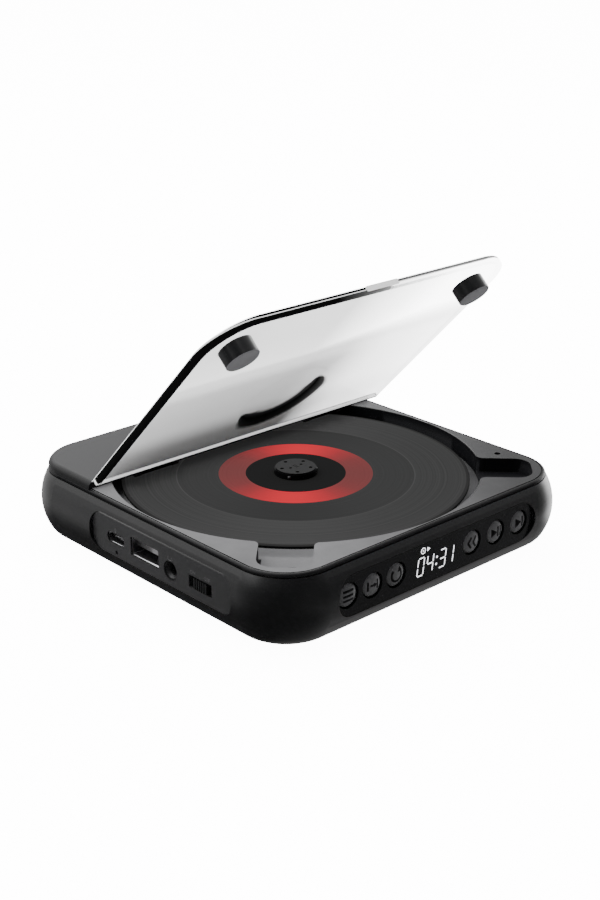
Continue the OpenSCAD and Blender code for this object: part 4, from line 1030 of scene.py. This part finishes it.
for key in KEYS:
    low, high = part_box(key)
    key_face = Vector(((low.x + high.x) / 2, low.y, (low.z + high.z) / 2))
    sign = key_mark(key)
    sign.scale = (SIGN_SCALE, SIGN_SCALE, 1)
    press_on(sign, key_face, FACE_FRONT, skins[key])
    settle(sign, key + "_sign", node_body[key], mark_black)
print("Key signs made:", len(KEYS))

# %% [markdown]
# ### The display
# The digits are slanted seven-segment ones. A segment is a six-sided bar: a hexagon whose left and right
# halves are drawn apart. The slant is a plain sideways shift that grows with height.

# %% Digit segments
DIGIT_W = 2.7
DIGIT_H = 6.0
HALF_H = DIGIT_H / 2
SEGMENT_T = 0.46
SEGMENT_GAP = 0.19
SEGMENT_MIDDLE = 0.1 * SEGMENT_T
SLANT = 0.13
SEGMENTS = {"0": "abcdef", "1": "bc", "3": "abgcd", "4": "fgbc"}
SEGMENT_AT = {
    "a": (0, HALF_H, 0), "d": (0, -HALF_H, 0), "g": (0, 0, 0),
    "b": (DIGIT_W / 2, HALF_H / 2, 90), "c": (DIGIT_W / 2, -HALF_H / 2, 90),
    "e": (-DIGIT_W / 2, -HALF_H / 2, 90), "f": (-DIGIT_W / 2, HALF_H / 2, 90),
}


def segment(letter, x):
    """One six-sided bar of a digit whose centre is at x."""
    place_x, place_y, turn = SEGMENT_AT[letter]
    length = (HALF_H if turn else DIGIT_W) - 2 * SEGMENT_GAP - SEGMENT_T
    bpy.ops.mesh.primitive_circle_add(
        vertices=6, radius=SEGMENT_T / 2 * MM, fill_type="NGON", rotation=(0, 0, math.radians(90))
    )
    shape = bpy.context.active_object
    bpy.ops.object.transform_apply(location=False, rotation=True, scale=False)
    for side in (-1, 1):
        choose(shape, lambda place: place.x * side > SEGMENT_MIDDLE * MM)
        bpy.ops.object.mode_set(mode="EDIT")
        bpy.ops.transform.translate(value=(side * length / 2 * MM, 0, 0))
        bpy.ops.object.mode_set(mode="OBJECT")
    return laid(shape, x + place_x, place_y, turn)


def slanted(mark):
    """Leans a flat mark to the right."""
    for vertex in mark.data.vertices:
        vertex.co.x += vertex.co.y * SLANT
    return mark


print("Digits known:", "".join(SEGMENTS))

# %% Reading and icon
READING = [("0", -7.2), ("4", -2.9), ("3", 2.9), ("1", 6.6)]
READING_SHIFT = 0.63 * MM
READING_DROP = 12.35 * MM
COLON_X = 0.15
COLON_SIZE = 0.75
COLON_Y = 1.2
ICON_SHIFT = Vector((-6.2, 0, 5.35)) * MM
LIT_LIFT = 0.03
LIT_THICKNESS = 0.05

display_low, display_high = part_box("display_module")
reading_x = (display_low.x + display_high.x) / 2 + READING_SHIFT
reading_place = Vector((reading_x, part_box("front_window")[0].y, DECK_Z - READING_DROP))
lit = [segment(letter, x) for digit, x in READING for letter in SEGMENTS[digit]]
lit += [bar(COLON_SIZE, COLON_SIZE, COLON_X, y) for y in (-COLON_Y, COLON_Y)]
reading = slanted(joined(lit))
press_on(reading, reading_place, FACE_FRONT, skins["front_window"], LIT_LIFT, LIT_THICKNESS)
settle(reading, "display_digits", "case", glow)
icon = joined([arc(0.95, 0.3, 0, 360), bar(0.5, 0.5), triangle(0.9, 2.3)])
press_on(icon, reading_place + ICON_SHIFT, FACE_FRONT, skins["front_window"], LIT_LIFT, LIT_THICKNESS)
settle(icon, "display_icon", "case", glow)
print("Lit shapes in the reading:", len(lit))

# %% [markdown]
# ### Marks on the port panel
# Small grey prints stand above the ports: a pair of headphones above the jack, a spark above the
# charging socket, and the words ON and OFF above the slide switch.

# %% Port marks
WORD_HEIGHT = 1.7
LETTER_STEPS = 3


def word(text, x):
    """A flat word, made a mesh, centred at x."""
    bpy.ops.object.text_add()
    letters = bpy.context.active_object
    letters.data.body = text
    letters.data.size = WORD_HEIGHT * MM
    letters.data.align_x = "CENTER"
    letters.data.align_y = "CENTER"
    letters.data.resolution_u = LETTER_STEPS
    bpy.ops.object.convert(target="MESH")
    return laid(letters, x, 0, 0)


def port_mark(name, mark, node, rise):
    """Prints a mark on the panel, above a port by rise in millimetres."""
    low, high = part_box(node)
    place = Vector((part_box("port_panel")[0].x, (low.y + high.y) / 2, high.z + rise * MM))
    press_on(mark, place, FACE_LEFT, skins["port_panel"])
    settle(mark, name, "case", mark_grey)


headphones = [arc(1.0, 0.25, 0, 180), bar(0.5, 0.9, -1.0, -0.3), bar(0.5, 0.9, 1.0, -0.3)]
port_mark("headphone_mark", joined(headphones), "headphone_jack", 1.4)
spark = [bar(0.3, 1.3, -0.15, 0.35, -25), bar(0.8, 0.3), bar(0.3, 1.3, 0.15, -0.35, -25)]
port_mark("charge_mark", joined(spark), "usb_c_socket", 1.3)
port_mark("switch_words", joined([word("ON", -3.4), word("OFF", 3.4)]), "switch_body", 0.7)
print("Port marks made")

# %% [markdown]
# ## The studio
# The player stands on a plain white floor under a large soft light from above. The camera sees the floor
# and the room as the same bright white, and the floor a little dimmer through the lid, while to
# everything else the floor glows only faintly.

# %% Floor
WHITE = (1.0, 1.0, 1.0, 1)
FLOOR_SIZE = 8
FLOOR_SEEN = 13.0
FLOOR_BEHIND_LID = 8.0
FLOOR_BOUNCE = 0.4

bpy.ops.mesh.primitive_plane_add(size=FLOOR_SIZE)
floor = bpy.context.active_object
floor.name = "floor"
floor_finish, floor_tree, floor_shader = new_finish("floor_white")
floor_math = partial(math_node, floor_tree)
floor_path = floor_tree.nodes.new("ShaderNodeLightPath").outputs
behind = floor_math("GREATER_THAN", floor_path["Transparent Depth"], 0.5)
seen = floor_math("MULTIPLY_ADD", behind, FLOOR_BEHIND_LID - FLOOR_SEEN, FLOOR_SEEN - FLOOR_BOUNCE)
feed(floor_tree, floor_shader.inputs, {
    "Base Color": (0.9, 0.9, 0.9, 1),
    "Roughness": 0.9,
    "Specular IOR Level": 0.0,
    "Emission Color": WHITE,
    "Emission Strength": floor_math("MULTIPLY_ADD", seen, floor_path["Is Camera Ray"], FLOOR_BOUNCE),
})
paint(floor, floor_finish)
floor.visible_glossy = False
print("Floor made:", FLOOR_SIZE, "m wide")

# %% [markdown]
# The gloss on black plastic is nothing but the room that it mirrors. The world is therefore bright behind
# the player, on its left and overhead, dark towards the camera, and dark low down on the left. A bright
# strip on the right, level with the player, draws the edges of the case on that side.

# %% World
AWAY = Vector((0.675, 0.738, 0.0))
LEFT = -VIEW_RIGHT
UP = Vector((0.0, 0.0, 1.0))

world = bpy.data.worlds.new("studio")
bpy.context.scene.world = world
world.use_nodes = True
sky = world.node_tree
sky_place = sky.nodes.new("ShaderNodeTexCoord").outputs["Generated"]


def sky_along(direction, stops):
    """Brightness by where a ray points: 0 is against the direction, 1 is along it."""
    share = math_node(sky, "MULTIPLY_ADD", along_axis(sky, sky_place, direction), 0.5, 0.5)
    return ramp_node(sky, share, stops)


back_glow = sky_along(AWAY, [(0.0, 0.02), (0.25, 0.06), (0.5, 0.45), (0.65, 0.75), (1.0, 1.0)])
side_glow = sky_along(LEFT, [(0.0, 0.6), (0.41, 0.65), (0.5, 1.0), (0.58, 1.5), (0.8, 1.6), (1.0, 1.9)])
high_glow = sky_along(
    UP, [(0.0, 0.8), (0.3, 0.8), (0.5, 0.6), (0.64, 1.1), (0.685, 2.2), (0.72, 3.0), (1.0, 3.0)]
)
low_side = sky_along(LEFT, [(0.0, 1.3), (0.28, 1.3), (0.42, 1.0), (0.6, 0.06), (1.0, 0.06)])
low_glow = mixed(sky, sky_along(UP, [(0.24, 1.0), (0.34, 0.0)]), WHITE, low_side)
strip_side = sky_along(
    LEFT, [(0.05, 1.0), (0.075, 5.0), (0.11, 10.0), (0.22, 10.0), (0.4, 6.0), (0.48, 1.0)]
)
strip_share = sky_along(UP, [(0.25, 0.0), (0.29, 1.0), (0.56, 1.0), (0.64, 0.0)])
strip_glow = mixed(sky, strip_share, WHITE, strip_side)
room = back_glow
for part in (side_glow, high_glow, low_glow, strip_glow):
    room = mixed(sky, 1.0, room, part, "MULTIPLY")
sky_seen = sky.nodes.new("ShaderNodeLightPath").outputs["Is Camera Ray"]
room = mixed(sky, sky_seen, room, (FLOOR_SEEN, FLOOR_SEEN, FLOOR_SEEN, 1))
feed(sky, sky.nodes["Background"].inputs, {"Color": room, "Strength": 1.0})
print("World made:", world.name)

# %% Lights
PLAYER_MIDDLE = (0, 0, 0.04)
RIGHT_END = (0.05, -0.05, 0.015)


def soft_light(name, place, aim, size, power):
    """A square area light that points at aim; lengths in metres, power in watts."""
    bpy.ops.object.light_add(type="AREA", location=place)
    light = bpy.context.active_object
    light.name = name
    light.data.size = size
    light.data.energy = power
    light.rotation_euler = (Vector(aim) - Vector(place)).to_track_quat("-Z", "Y").to_euler()


soft_light("top_light", (-0.1, 0.2, 1.5), PLAYER_MIDDLE, size=1.6, power=22)
soft_light("left_light", (-1.3, 0.5, 0.9), PLAYER_MIDDLE, size=0.9, power=6)
soft_light("right_light", (1.1, 0.0, 0.16), RIGHT_END, size=0.7, power=5)
print("Lights made")
